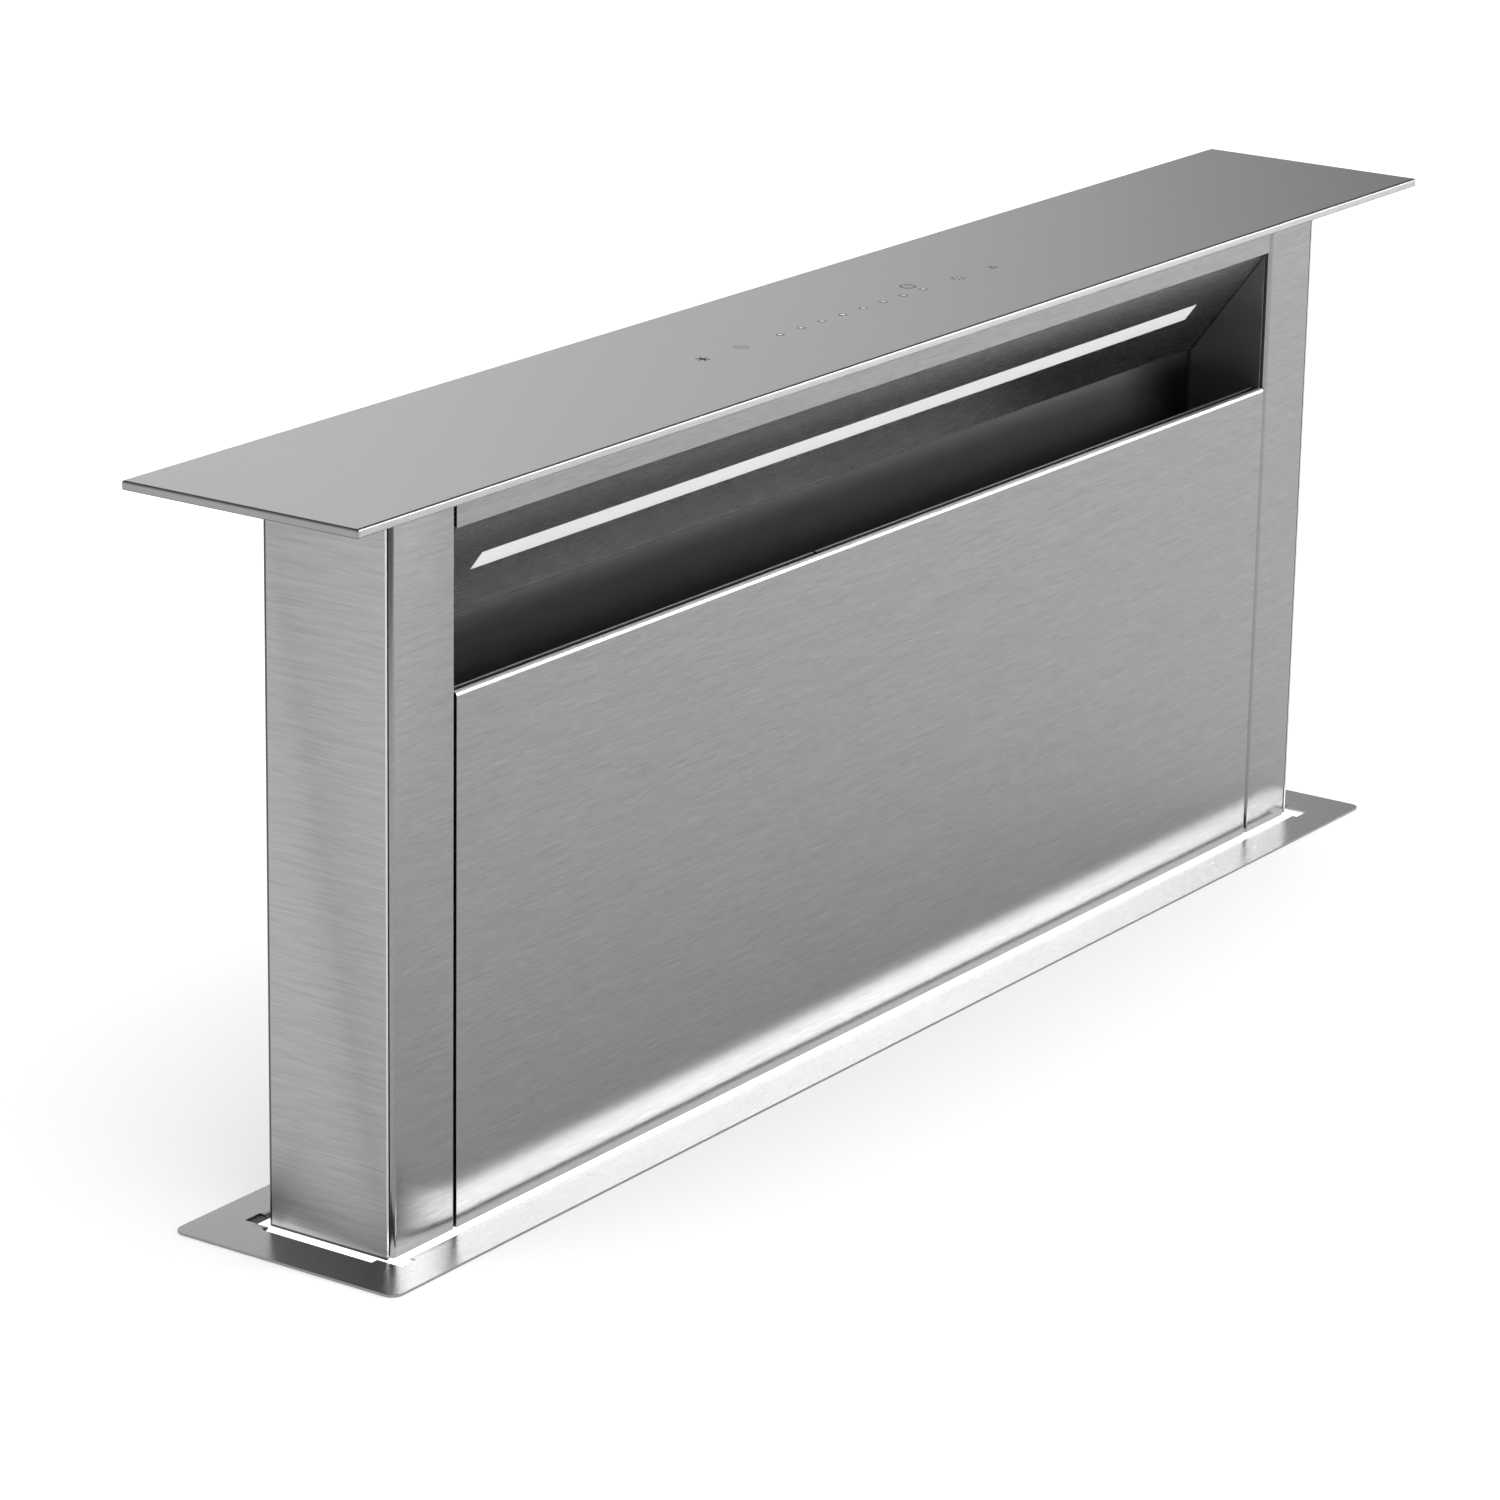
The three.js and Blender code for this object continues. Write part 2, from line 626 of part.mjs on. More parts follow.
// Flat face, a hem rolled over at the top, and a folded foot.
function frontPanel() {
  const hemTop = mouthSill;
  const r = HEM_T / 2;
  const inner = r - SKIN_SHEET;
  const roll = (radius, from, to) => {
    const points = [];
    for (let s = 0; s <= 6; s += 1) {
      const a = from + ((to - from) * s) / 6;
      points.push([towerFront + r + radius * Math.cos(a), hemTop - r + radius * Math.sin(a)]);
    }
    return points;
  };
  const section = outline([
    [towerFront, panelBottom],
    ...roll(r, Math.PI, 0),
    [towerFront + HEM_T, hemTop - HEM_DROP],
    [towerFront + HEM_T - SKIN_SHEET, hemTop - HEM_DROP],
    ...roll(inner, 0, Math.PI),
    [towerFront + SKIN_SHEET, panelBottom + SKIN_SHEET],
    [towerFront + PANEL_RETURN, panelBottom + SKIN_SHEET],
    [towerFront + PANEL_RETURN, panelBottom],
  ]);
  const face = extrudeX(section, -panelEnd, panelEnd);
  const sideReturn = block(
    panelEnd - SKIN_SHEET, panelEnd, towerFront + SKIN_SHEET / 2, towerFront + PANEL_RETURN,
    panelBottom + SKIN_SHEET / 2, hemTop - HEM_DROP);
  return join(face, sideReturn, mirroredX(sideReturn));
}

// A thin skin with a folded foot. Its top edge shows behind the front panel's hem.
function innerSkin(x0, x1) {
  const y = towerFront + INNER_SKIN_SET;
  const foot = panelBottom + SKIN_SHEET + FIT;
  const top = mouthSill - INNER_SKIN_DROP;
  const corners = [[y, top], [y, foot], [y + INNER_SKIN_FOOT, foot]];
  return extrudeX(sheet(corners, INNER_SKIN_SHEET, BEND_R / 2), x0, x1);
}

// ---------------------------------------------------------------- filters

const filterMatrix = new THREE.Matrix4()
  .makeRotationX(-THREE.MathUtils.degToRad(FILTER_TILT))
  .setPosition(0, towerFront + FILTER_BACK, -FILTER_TOP);

// Cassette with upright baffle slots. Its own z = 0 is the top edge and y = 0 its back face.
function greaseFilter(x0, x1) {
  const cassette = block(x0, x1, -FILTER_T, 0, -FILTER_H, 0);
  const pitch = (x1 - x0 - 2 * FILTER_FRAME) / FILTER_SLOTS;
  const slots = [];
  for (let k = 0; k < FILTER_SLOTS; k += 1) {
    const x = x0 + FILTER_FRAME + (k + 0.25) * pitch;
    slots.push(block(x, x + pitch / 2, -2 * FILTER_T, FILTER_T, FILTER_FRAME - FILTER_H, -FILTER_FRAME));
  }
  return cut(cassette, ...slots).applyMatrix4(filterMatrix);
}

// Angle across the duct that the filters stand on.
function filterRest() {
  const foot = new THREE.Vector3(0, 0, -FILTER_H).applyMatrix4(filterMatrix);
  const top = foot.z - FIT - FILTER_T * Math.sin(THREE.MathUtils.degToRad(FILTER_TILT));
  const front = foot.y - FILTER_T - REST_T - 2 * FIT;
  const corners = [[front, top + REST_LIP], [front, top - REST_T], [ductBack - FIT, top - REST_T]];
  const angle = extrudeX(sheet(corners, REST_T), -panelEnd, panelEnd);
  const windows = [-1, 1].map((side) => block(
    Math.min(side * REST_WEB, side * (panelEnd - REST_WEB)),
    Math.max(side * REST_WEB, side * (panelEnd - REST_WEB)),
    foot.y + REST_EDGE, ductBack - REST_EDGE, top - 3 * REST_T, top + REST_LIP));
  return cut(angle, ...windows);
}

// ---------------------------------------------------------------- tower: frame and lift parts

function topRail() {
  const back = towerBack - SKIN_SHEET - FIT;
  const corners = [
    [back, -TOP_RAIL_H],
    [back, -FIT],
    [back - TOP_RAIL_D, -FIT],
    [back - TOP_RAIL_D, -TOP_RAIL_H],
  ];
  return extrudeX(sheet(corners, RAIL_SHEET), -panelEnd, panelEnd);
}

function bottomRail() {
  const front = ductBack + 2 * SKIN_SHEET + 2 * FIT;
  const corners = [
    [front + BOTTOM_RAIL_D, -TOWER_H],
    [front + BOTTOM_RAIL_D, -TOWER_H + BOTTOM_RAIL_H],
    [front, -TOWER_H + BOTTOM_RAIL_H],
    [front, -TOWER_H],
  ];
  return extrudeX(sheet(corners, RAIL_SHEET), FIT - frameInner, frameInner - FIT);
}

// Upright plate inside each side cover. It carries the nut and the shoe below the skin.
function endFrame() {
  const corners = [
    [frameFace, frameBottom],
    [frameFace, -FIT],
    [frameFace - FRAME_FLANGE, -FIT],
  ];
  const [front, back] = [towerFront + STILE_RETURN + FRAME_INSET, RAIL_Y + SHOE_D / 2 - FRAME_INSET];
  const plate = extrudeY(sheet(corners, FRAME_SHEET), front, back);
  const shorten = block(0, frameInner, BOTTOM_RAIL_D + ductBack, towerBack, -TOP_RAIL_H, 0);
  const holes = FRAME_SLOT.places.map((share) => {
    const slot = roundedRectangle(FRAME_SLOT.w / 2, FRAME_SLOT.h / 2, FRAME_SLOT.r);
    return extrudeX(slot, 0, towerEnd).translate(0, FRAME_SLOT.y, -TOWER_H * share);
  });
  return cut(plate, shorten, ...holes);
}

const seatX = frameFace + FIT;

function liftNut() {
  const width = pocketEnd - NUT_CLEARANCE - seatX;
  const body = roundedRectangle(width / 2, NUT_D / 2, NUT_R);
  const foot = frameBottom + FRAME_FOOT;
  const nut = extrudeZ(body, foot, foot + NUT_H).translate(seatX + width / 2, 0, 0);
  return cut(nut, rod(boreR, -2 * TOWER_H, 0).translate(screwX, 0, 0));
}

function guideShoe() {
  const far = pocketEnd - SHOE_CLEARANCE;
  const c = SHOE_CHAMFER;
  const slotHalf = RAIL_BLADE / 2 + RAIL_CLEARANCE;
  const slotFloor = railTip - RAIL_CLEARANCE;
  const [y0, y1] = [RAIL_Y - SHOE_D / 2, RAIL_Y + SHOE_D / 2];
  const section = outline([
    [seatX, y0], [far - c, y0], [far, y0 + c], [far, RAIL_Y - slotHalf],
    [slotFloor, RAIL_Y - slotHalf], [slotFloor, RAIL_Y + slotHalf], [far, RAIL_Y + slotHalf],
    [far, y1 - c], [far - c, y1], [seatX, y1],
  ]);
  return extrudeZ(section, frameBottom + FRAME_FOOT, frameBottom + FRAME_FOOT + SHOE_H);
}

const railTip = towerEnd + RAIL_REACH;

function guideRail() {
  const base = pocketEnd - RAIL_BASE_T;
  const half = [RAIL_BLADE / 2, RAIL_BASE / 2];
  const section = outline([
    [pocketEnd, RAIL_Y - half[1]], [pocketEnd, RAIL_Y + half[1]],
    [base, RAIL_Y + half[1]], [base, RAIL_Y + half[0]],
    [railTip, RAIL_Y + half[0]], [railTip, RAIL_Y - half[0]],
    [base, RAIL_Y - half[0]], [base, RAIL_Y - half[1]],
  ]);
  return extrudeZ(
    section, floorTop + GEARBOX_H + RAIL_FOOT, -YOKE_DEPTH - YOKE_H - RAIL_END_GAP);
}

// Nylon yoke that guides the tower's end in the slot and holds the screw's top journal.
function slotGuide() {
  const cornerX = endWallInner - CHASSIS_SHEET - 2 * FIT;
  const cornerY = CHASSIS_D / 2 - CHASSIS_FLANGE - FIT;
  const y = wallInner - FIT;
  const inner = [towerEnd + YOKE_CLEARANCE, towerBack + YOKE_CLEARANCE];
  const near = towerEnd - YOKE_REACH;
  const section = outline([
    [near, -y], [cornerX, -y], [cornerX, -cornerY], [pocketEnd, -cornerY],
    [pocketEnd, cornerY], [cornerX, cornerY], [cornerX, y], [near, y],
    [near, inner[1]], [inner[0], inner[1]], [inner[0], -inner[1]], [near, -inner[1]],
  ]);
  const yoke = extrudeZ(section, -YOKE_DEPTH - YOKE_H, -YOKE_DEPTH);
  return cut(yoke, rod(journalBoreR, -2 * YOKE_DEPTH - YOKE_H, 0).translate(screwX, 0, 0));
}

function liftScrew() {
  const top = -YOKE_DEPTH - SCREW_TOP_DROP;
  const shoulder = -YOKE_DEPTH - YOKE_H - FIT;
  const lowShoulder = floorTop + GEARBOX_H + FIT;
  const foot = lowShoulder - JOURNAL_L;
  const [r, j] = [SCREW_D / 2, JOURNAL_D / 2];
  const [c, tip] = [SCREW_CHAMFER, SHAFT_CHAMFER];
  return turned([
    [0, foot], [j, foot], [j, lowShoulder], [r - c, lowShoulder], [r, lowShoulder + c],
    [r, shoulder - c], [r - c, shoulder], [j, shoulder], [j, top - tip], [j - tip, top], [0, top],
  ], 16).translate(screwX, 0, 0);
}

// Cast corner gearbox: a rounded body with a boss round each shaft.
function cornerGearbox() {
  const x0 = pocketEnd - GEARBOX_W;
  const plan = roundedRectangle(GEARBOX_W / 2, GEARBOX_D / 2, GEARBOX_R);
  const body = extrudeZ(plan, 0, GEARBOX_H - GEARBOX_BOSS_H)
    .translate(x0 + GEARBOX_W / 2, 0, floorTop + FIT);
  const top = floorTop + GEARBOX_H;
  const topBoss = rod(JOURNAL_D * 0.85, top - GEARBOX_BOSS_H - 1, top).translate(screwX, 0, 0);
  const face = x0 - GEARBOX_BOSS_L;
  const sideBoss = rodX(GEARBOX_BOSS_R, face, x0 + 1).translate(0, 0, shaftZ);
  const screwBore = rod(journalBoreR, top - JOURNAL_D * 1.5, 0, 16).translate(screwX, 0, 0);
  const shaftBore = rodX(
    SHAFT_HEX / 2 + SHAFT_BORE_CLEARANCE, 0, face + SHAFT_INSERTION + 1, 16)
    .translate(0, 0, shaftZ);
  return cut(join(body, topBoss, sideBoss), screwBore, shaftBore);
}

function crossShaft() {
  const half = pocketEnd - GEARBOX_W - GEARBOX_BOSS_L + SHAFT_INSERTION;
  return rodX(SHAFT_HEX / Math.sqrt(3), -half, half, 6);
}

// Worm gearmotor with a hollow output that the cross shaft passes through.
function liftGearmotor() {
  const top = shaftZ + LIFT_HOUSING_UP;
  const plan = roundedRectangle(LIFT_HOUSING_W / 2, LIFT_HOUSING_D / 2, LIFT_HOUSING_R);
  const housing = extrudeZ(plan, floorTop + FIT, top).translate(LIFT_MOTOR_X, 0, 0);
  const reach = LIFT_HOUSING_W / 2 + LIFT_BOSS_L;
  const boss = rodX(LIFT_BOSS_R, LIFT_MOTOR_X - reach, LIFT_MOTOR_X + reach).translate(0, 0, shaftZ);
  const end = top + LIFT_MOTOR_H;
  const neck = [LIFT_MOTOR_NECK_R, LIFT_MOTOR_NECK_H];
  const can = turned([
    [0, top - FIT], [LIFT_MOTOR_R, top - FIT], [LIFT_MOTOR_R, end - neck[1]],
    [LIFT_MOTOR_R - neck[1], end], [neck[0], end], [neck[0], end + neck[1]], [0, end + neck[1]],
  ], 24).translate(LIFT_MOTOR_X, 0, 0);
  const bore = rodX(SHAFT_HEX / 2 + SHAFT_BORE_CLEARANCE, 0, chassisEnd).translate(0, 0, shaftZ);
  return cut(join(housing, boss, can), bore);
}

// ---------------------------------------------------------------- worktop flange and chassis

// Thin plate with a slot for the tower. The slot's edges are folded down, and a relief notch
// at each corner lets them fold.
function worktopFlange() {
  const slot = { x: slotX, y: slotY };
  const notchX = slot.x - RELIEF_INSET;
  const corner = { x: notchX, long: notchX - RELIEF_W - LIP_TO_RELIEF, end: slot.y - LIP_CLEAR };
  const back = SLOT_LEG / 2;
  const plate = roundedRectangle(FLANGE_W / 2, FLANGE_D / 2, FLANGE_R);
  const quarter = [
    [slot.x + back, 0], [slot.x + back, corner.end], [corner.x, corner.end], [corner.x, slot.y],
    [corner.x - 1, slot.y], [corner.x - 1, slot.y + RELIEF_D], [corner.long, slot.y + RELIEF_D],
    [corner.long, slot.y + back],
  ];
  const flip = (sx, sy) => quarter.map(([x, y]) => [sx * x, sy * y]);
  const hole = new THREE.Path([
    ...flip(1, 1), ...flip(-1, 1).reverse().slice(0, -1), ...flip(-1, -1),
    ...flip(1, -1).reverse().slice(0, -1),
  ].map(([x, y]) => new THREE.Vector2(x, y)));
  plate.holes.push(hole);
  const lipSection = (edge) => sheet(
    [[edge + SLOT_LEG, FLANGE_T], [edge, FLANGE_T], [edge, -SLOT_LIP]], FLANGE_T, BEND_R);
  const longLip = extrudeX(lipSection(slot.y), -corner.long, corner.long);
  const endLip = extrudeY(lipSection(slot.x), -corner.end, corner.end);
  return join(
    extrudeZ(plate, 0, FLANGE_T), longLip, longLip.clone().rotateZ(Math.PI), endLip,
    mirroredX(endLip));
}

// Front or back wall of the chassis with a folded edge at each end. Its top edge folds in to
// the slot's lip and down beside it.
function chassisWall() {
  const x = endWallInner - FIT;
  const corners = [
    [-x, chassisFront + CHASSIS_FLANGE],
    [-x, chassisFront],
    [x, chassisFront],
    [x, chassisFront + CHASSIS_FLANGE],
  ];
  const wall = extrudeZ(
    sheet(corners, CHASSIS_SHEET), -CHASSIS_H + CHASSIS_SHEET + FIT, -CHASSIS_RELIEF);
  const topEdge = [
    [-lipOutsideY, -SLOT_LIP],
    [-lipOutsideY, -CHASSIS_DROP],
    [chassisFront, -CHASSIS_DROP],
    [chassisFront, -CHASSIS_FLANGE],
  ];
  const reach = lipOutsideX - FIT;
  return join(wall, extrudeX(sheet(topEdge, CHASSIS_SHEET), -reach, reach));
}

function chassisFrontWall() {
  const inlet = rod(INLET_R + 1, -CHASSIS_D, CHASSIS_D, 40).rotateX(Math.PI / 2);
  return cut(chassisWall(), inlet.translate(BLOWER_X, -CHASSIS_D, BLOWER_Z));
}

function chassisEndWall() {
  const foot = 25;
  const corners = [
    [chassisEnd - foot, -CHASSIS_H],
    [chassisEnd, -CHASSIS_H],
    [chassisEnd, -CHASSIS_DROP],
    [lipOutsideX, -CHASSIS_DROP],
    [lipOutsideX, -SLOT_LIP],
  ];
  const wall = extrudeY(sheet(corners, CHASSIS_SHEET), chassisFront, -chassisFront);
  const besideWall = block(
    0, endWallInner - FIT / 2, wallInner - FIT, CHASSIS_D, -2 * CHASSIS_H, 0);
  return cut(wall, besideWall, besideWall.clone().translate(0, FIT - wallInner - CHASSIS_D, 0));
}

function chassisFloor() {
  const y = wallInner - FIT;
  const z = -CHASSIS_H + CHASSIS_SHEET + FIT;
  const corners = [[-y, z + FLOOR_LIP], [-y, z], [y, z], [y, z + FLOOR_LIP]];
  const x = endWallInner - CHASSIS_SHEET - 2 * FIT;
  return extrudeX(sheet(corners, CHASSIS_SHEET), -x, x);
}

// Angle on each end wall that bears up against the underside of the worktop.
function worktopBracket() {
  const x = chassisEnd + FIT;
  const top = -WORKTOP_T;
  const corners = [
    [x, top - BRACKET_DROP],
    [x, top],
    [x + BRACKET_OUT, top],
  ].reverse();
  const angle = extrudeY(sheet(corners, BRACKET_SHEET), -BRACKET_W / 2, BRACKET_W / 2);
  const shape = roundedRectangle(BRACKET_SLOT.w / 2, BRACKET_SLOT.h / 2, BRACKET_SLOT.r);
  const slot = extrudeX(shape, 0, 2 * x).translate(0, 0, top - BRACKET_DROP / 2);
  return cut(angle, slot);
}

// ---------------------------------------------------------------- blower
// The blower's own frame: x to the right, y up and z towards the front, with z = 0 on the
// scroll's inlet plate and the wheel's axis at x = y = 0.

const tongue = THREE.MathUtils.degToRad(TONGUE_ANGLE);
const sweep = THREE.MathUtils.degToRad(SCROLL_SWEEP);
const outletLow = SCROLL_R * Math.sin(tongue);
const outletMid = (outletLow + SCROLL_END_R) / 2;

// Logarithmic spiral from the tongue round to the outlet, which runs off to the left.
function scrollOutline(grow) {
  const points = [[-OUTLET_REACH, SCROLL_END_R + grow]];
  for (let k = SCROLL_STEPS; k > 0; k -= 1) {
    const angle = tongue + (sweep * k) / SCROLL_STEPS;
    const r = SCROLL_R * (SCROLL_END_R / SCROLL_R) ** (k / SCROLL_STEPS) + grow;
    points.push([r * Math.cos(angle), r * Math.sin(angle)]);
  }
  const low = outletLow - grow;
  const r = SCROLL_R + grow;
  points.push([-Math.sqrt(r * r - low * low), low], [-OUTLET_REACH, low]);
  return points;
}

function scrollBody() {
  const outer = extrudeZ(outline(scrollOutline(SCROLL_SHEET)), 0, SCROLL_D);
  const room = scrollOutline(0).map(([x, y]) => [x <= -OUTLET_REACH ? x - OVERCUT : x, y]);
  const inner = extrudeZ(outline(room), SCROLL_SHEET, SCROLL_D + OVERCUT);
  const t = SCROLL_SHEET;
  const mouth = turned([
    [INLET_R + BELL_LAP, 0], [INLET_R + BELL_LAP, t], [INLET_R - BELL_ROUND[0], 2 * t],
    [INLET_THROAT_R + t, 5 * t], [INLET_THROAT_R + t, BELL_DEPTH], [INLET_THROAT_R, BELL_DEPTH],
    [INLET_THROAT_R, 4 * t], [INLET_R - BELL_ROUND[1], t], [INLET_R, 0],
    [INLET_R + BELL_LAP, 0],
  ], 40);
  const hole = rod(INLET_R + BELL_LAP / 3, -OVERCUT, OVERCUT, 40);
  return join(cut(outer, inner, hole), mouth);
}

function scrollCover() {
  const z = SCROLL_D + FIT;
  const plate = extrudeZ(outline(scrollOutline(SCROLL_SHEET + COVER_FLANGE)), z, z + SCROLL_SHEET);
  const trim = block(-2 * OUTLET_REACH, -OUTLET_REACH, 0, 2 * SCROLL_END_R, 0, 2 * SCROLL_D);
  return cut(plate, trim, rod(MOTOR_PILOT_R + FIT, 0, 2 * SCROLL_D, 24));
}

// One forward-curved blade: it leaves the core circle squarely and ends along the rim.
function bladeSection() {
  const lean = THREE.MathUtils.degToRad(BLADE_LEAN);
  const side = (offset) => {
    const points = [];
    for (let s = 0; s <= BLADE_STEPS; s += 1) {
      const u = (s / BLADE_STEPS) * (Math.PI / 2);
      const r = WHEEL_CORE_R + (WHEEL_R - WHEEL_CORE_R) * Math.sin(u);
      const a = lean * (1 - Math.cos(u)) + offset / r;
      points.push([r * Math.cos(a), r * Math.sin(a)]);
    }
    return points;
  };
  return outline([...side(0), ...side(BLADE_T).reverse()]);
}

// Squirrel-cage wheel: hub and disc on the motor's side, blades, and a ring at the inlet.
function impeller() {
  const discBack = WHEEL_FRONT - WHEEL_DISC_T;
  const bore = MOTOR_SHAFT_D / 2 + SHAFT_CLEARANCE;
  const [hubEnd, fillet] = [WHEEL_FRONT - HUB_L, HUB_R / 4];
  const disc = turned([
    [bore, hubEnd], [HUB_R - SHAFT_CHAMFER, hubEnd], [HUB_R, hubEnd + SHAFT_CHAMFER],
    [HUB_R, discBack - fillet],
    [HUB_R + fillet, discBack], [WHEEL_R, discBack], [WHEEL_R, WHEEL_FRONT], [bore, WHEEL_FRONT],
    [bore, hubEnd],
  ], 36);
  const ringEnd = WHEEL_INLET + WHEEL_RING_T;
  const [ringInner, ringOuter] = [WHEEL_CORE_R + 2 * WHEEL_RING_T, WHEEL_R + WHEEL_RING_PROUD];
  const ring = turned([
    [ringInner, WHEEL_INLET], [ringOuter, WHEEL_INLET], [ringOuter, ringEnd],
    [ringInner, ringEnd], [ringInner, WHEEL_INLET],
  ], 36);
  const blade = extrudeZ(bladeSection(), WHEEL_INLET + BLADE_LAP[0], WHEEL_FRONT - BLADE_LAP[1]);
  const blades = [];
  for (let k = 0; k < WHEEL_BLADES; k += 1) {
    blades.push(blade.clone().rotateZ((2 * Math.PI * k) / WHEEL_BLADES));
  }
  return join(disc, ring, ...blades);
}

const motorFace = SCROLL_D + SCROLL_SHEET + 2 * FIT;
const shaftEnd = motorFace + MOTOR_SHAFT_SEAT;

function motorShaft() {
  const r = MOTOR_SHAFT_D / 2;
  const tip = WHEEL_FRONT - HUB_L - MOTOR_SHAFT_REACH;
  const c = SHAFT_CHAMFER;
  return turned([
    [0, tip], [r - c, tip], [r, tip + c], [r, shaftEnd - c], [r - c, shaftEnd], [0, shaftEnd],
  ], 16);
}

// Fan motor on the scroll cover, with a pilot through the cover and a ribbed end cap.
function fanMotor() {
  const bore = MOTOR_SHAFT_D / 2 + SHAFT_CLEARANCE;
  const end = motorFace + MOTOR_L;
  const pilot = motorFace - 3 * SCROLL_SHEET - 2 * FIT;
  const body = turned([
    [bore, pilot], [MOTOR_PILOT_R, pilot], [MOTOR_PILOT_R, motorFace],
    [MOTOR_R + MOTOR_FLANGE, motorFace], [MOTOR_R + MOTOR_FLANGE, motorFace + MOTOR_FLANGE_T],
    [MOTOR_R, motorFace + MOTOR_FLANGE_T], [MOTOR_R, end - MOTOR_FLANGE],
    [MOTOR_R - MOTOR_CAP_CHAMFER, end], [0, end], [0, shaftEnd + MOTOR_BORE_SPARE],
    [bore, shaftEnd + MOTOR_BORE_SPARE],
    [bore, pilot],
  ], 36);
  const ribs = [];
  for (let k = 0; k < MOTOR_RIBS; k += 1) {
    ribs.push(block(
      MOTOR_R / 3, MOTOR_R - MOTOR_FLANGE, -MOTOR_RIB_T / 2, MOTOR_RIB_T / 2, end - 1,
      end + MOTOR_RIB_T).rotateZ((Math.PI * k) / 6));
  }
  const start = motorFace + TERMINAL_SET;
  const terminalBox = block(
    -TERMINAL_W / 2, TERMINAL_W / 2, MOTOR_R - MOTOR_FLANGE, MOTOR_R + TERMINAL_OUT, start,
    start + TERMINAL_L);
  return join(body, terminalBox, ...ribs);
}

// ---------------------------------------------------------------- duct adapter and damper

// A shell through rings of points, each ring closed, with the given wall thickness outwards.
function loftedShell(rings, wall) {
  const positions = [];
  const sides = rings[0].points.length;
  const push = (ring, outwards) => ring.points.forEach(([y, z]) => {
    const reach = Math.hypot(y - ring.centre[0], z - ring.centre[1]);
    const k = 1 + (outwards ? wall / reach : 0);
    const [cy, cz] = ring.centre;
    positions.push(ring.x, cy + (y - cy) * k, cz + (z - cz) * k);
  });
  rings.forEach((ring) => push(ring, true));
  [...rings].reverse().forEach((ring) => push(ring, false));
  const loops = 2 * rings.length;
  const faces = [];
  for (let loop = 0; loop < loops; loop += 1) {
    const next = (loop + 1) % loops;
    for (let k = 0; k < sides; k += 1) {
      const j = (k + 1) % sides;
      const [a, b, c, d] = [loop * sides + k, loop * sides + j, next * sides + j, next * sides + k];
      faces.push(a, b, c, a, c, d);
    }
  }
  const geometry = new THREE.BufferGeometry();
  geometry.setAttribute('position', new THREE.Float32BufferAttribute(positions, 3));
  return tidy(geometry.setIndex(faces));
}

const ductInner = DUCT_D / 2 - DUCT_WALL;
const adapterStart = -OUTLET_REACH - FIT;
const taperEnd = adapterStart - DUCT_TAPER;
const ductEnd = taperEnd - DUCT_COLLAR;
const damperX = taperEnd - DAMPER_SET;

// Outlet moulding: from the scroll's rectangular mouth to a round collar with a bead.
function ductAdapter() {
  const half = { y: (SCROLL_END_R - outletLow) / 2, z: SCROLL_D / 2 - DUCT_WALL - FIT };
  const mid = [outletMid, SCROLL_D / 2];
  const axis = [outletMid, DUCT_SET];
  const ringAt = (x, blend, extra = 0) => {
    const centre = mid.map((m, k) => m + (axis[k] - m) * blend);
    const points = [];
    for (let k = 0; k < DUCT_SIDES; k += 1) {
      const a = (2 * Math.PI * (k + 0.5)) / DUCT_SIDES;
      const [c, s] = [Math.cos(a), Math.sin(a)];
      const square = Math.min(half.y / Math.abs(c), half.z / Math.abs(s));
      const r = square + (ductInner - square) * blend + extra;
      points.push([centre[0] + r * c, centre[1] + r * s]);
    }
    return { x, centre, points };
  };
  const rings = [ringAt(adapterStart, 0), ringAt(adapterStart - DUCT_NECK, 0)];
  for (let s = 1; s <= 3; s += 1) {
    const x = rings[1].x + ((taperEnd - rings[1].x) * s) / 3;
    rings.push(ringAt(x, (1 - Math.cos((Math.PI * s) / 3)) / 2));
  }
  const { set, half: beadHalf, proud } = DUCT_BEAD;
  const bead = ductEnd + set;
  rings.push(
    ringAt(bead + beadHalf, 1), ringAt(bead, 1, proud), ringAt(bead - beadHalf, 1),
    ringAt(ductEnd, 1));
  const { t, out, inset, wall } = ADAPTER_FLANGE;
  const frame = cut(
    block(adapterStart - t, adapterStart, outletLow - out, SCROLL_END_R + out, FIT, SCROLL_D + out),
    block(
      adapterStart - 2 * t, 0, outletLow + inset, SCROLL_END_R - inset, wall, SCROLL_D - wall));
  const pinHole = rod(PIN_D / 2 + JOURNAL_CLEARANCE, -DUCT_D, DUCT_D, 16).rotateX(Math.PI / 2);
  return cut(join(loftedShell(rings, DUCT_WALL), frame), pinHole.translate(damperX, outletMid, DUCT_SET));
}

const damperPin = () => rod(PIN_D / 2, PIN_INSET - DUCT_D / 2, DUCT_D / 2 - PIN_INSET, 16);

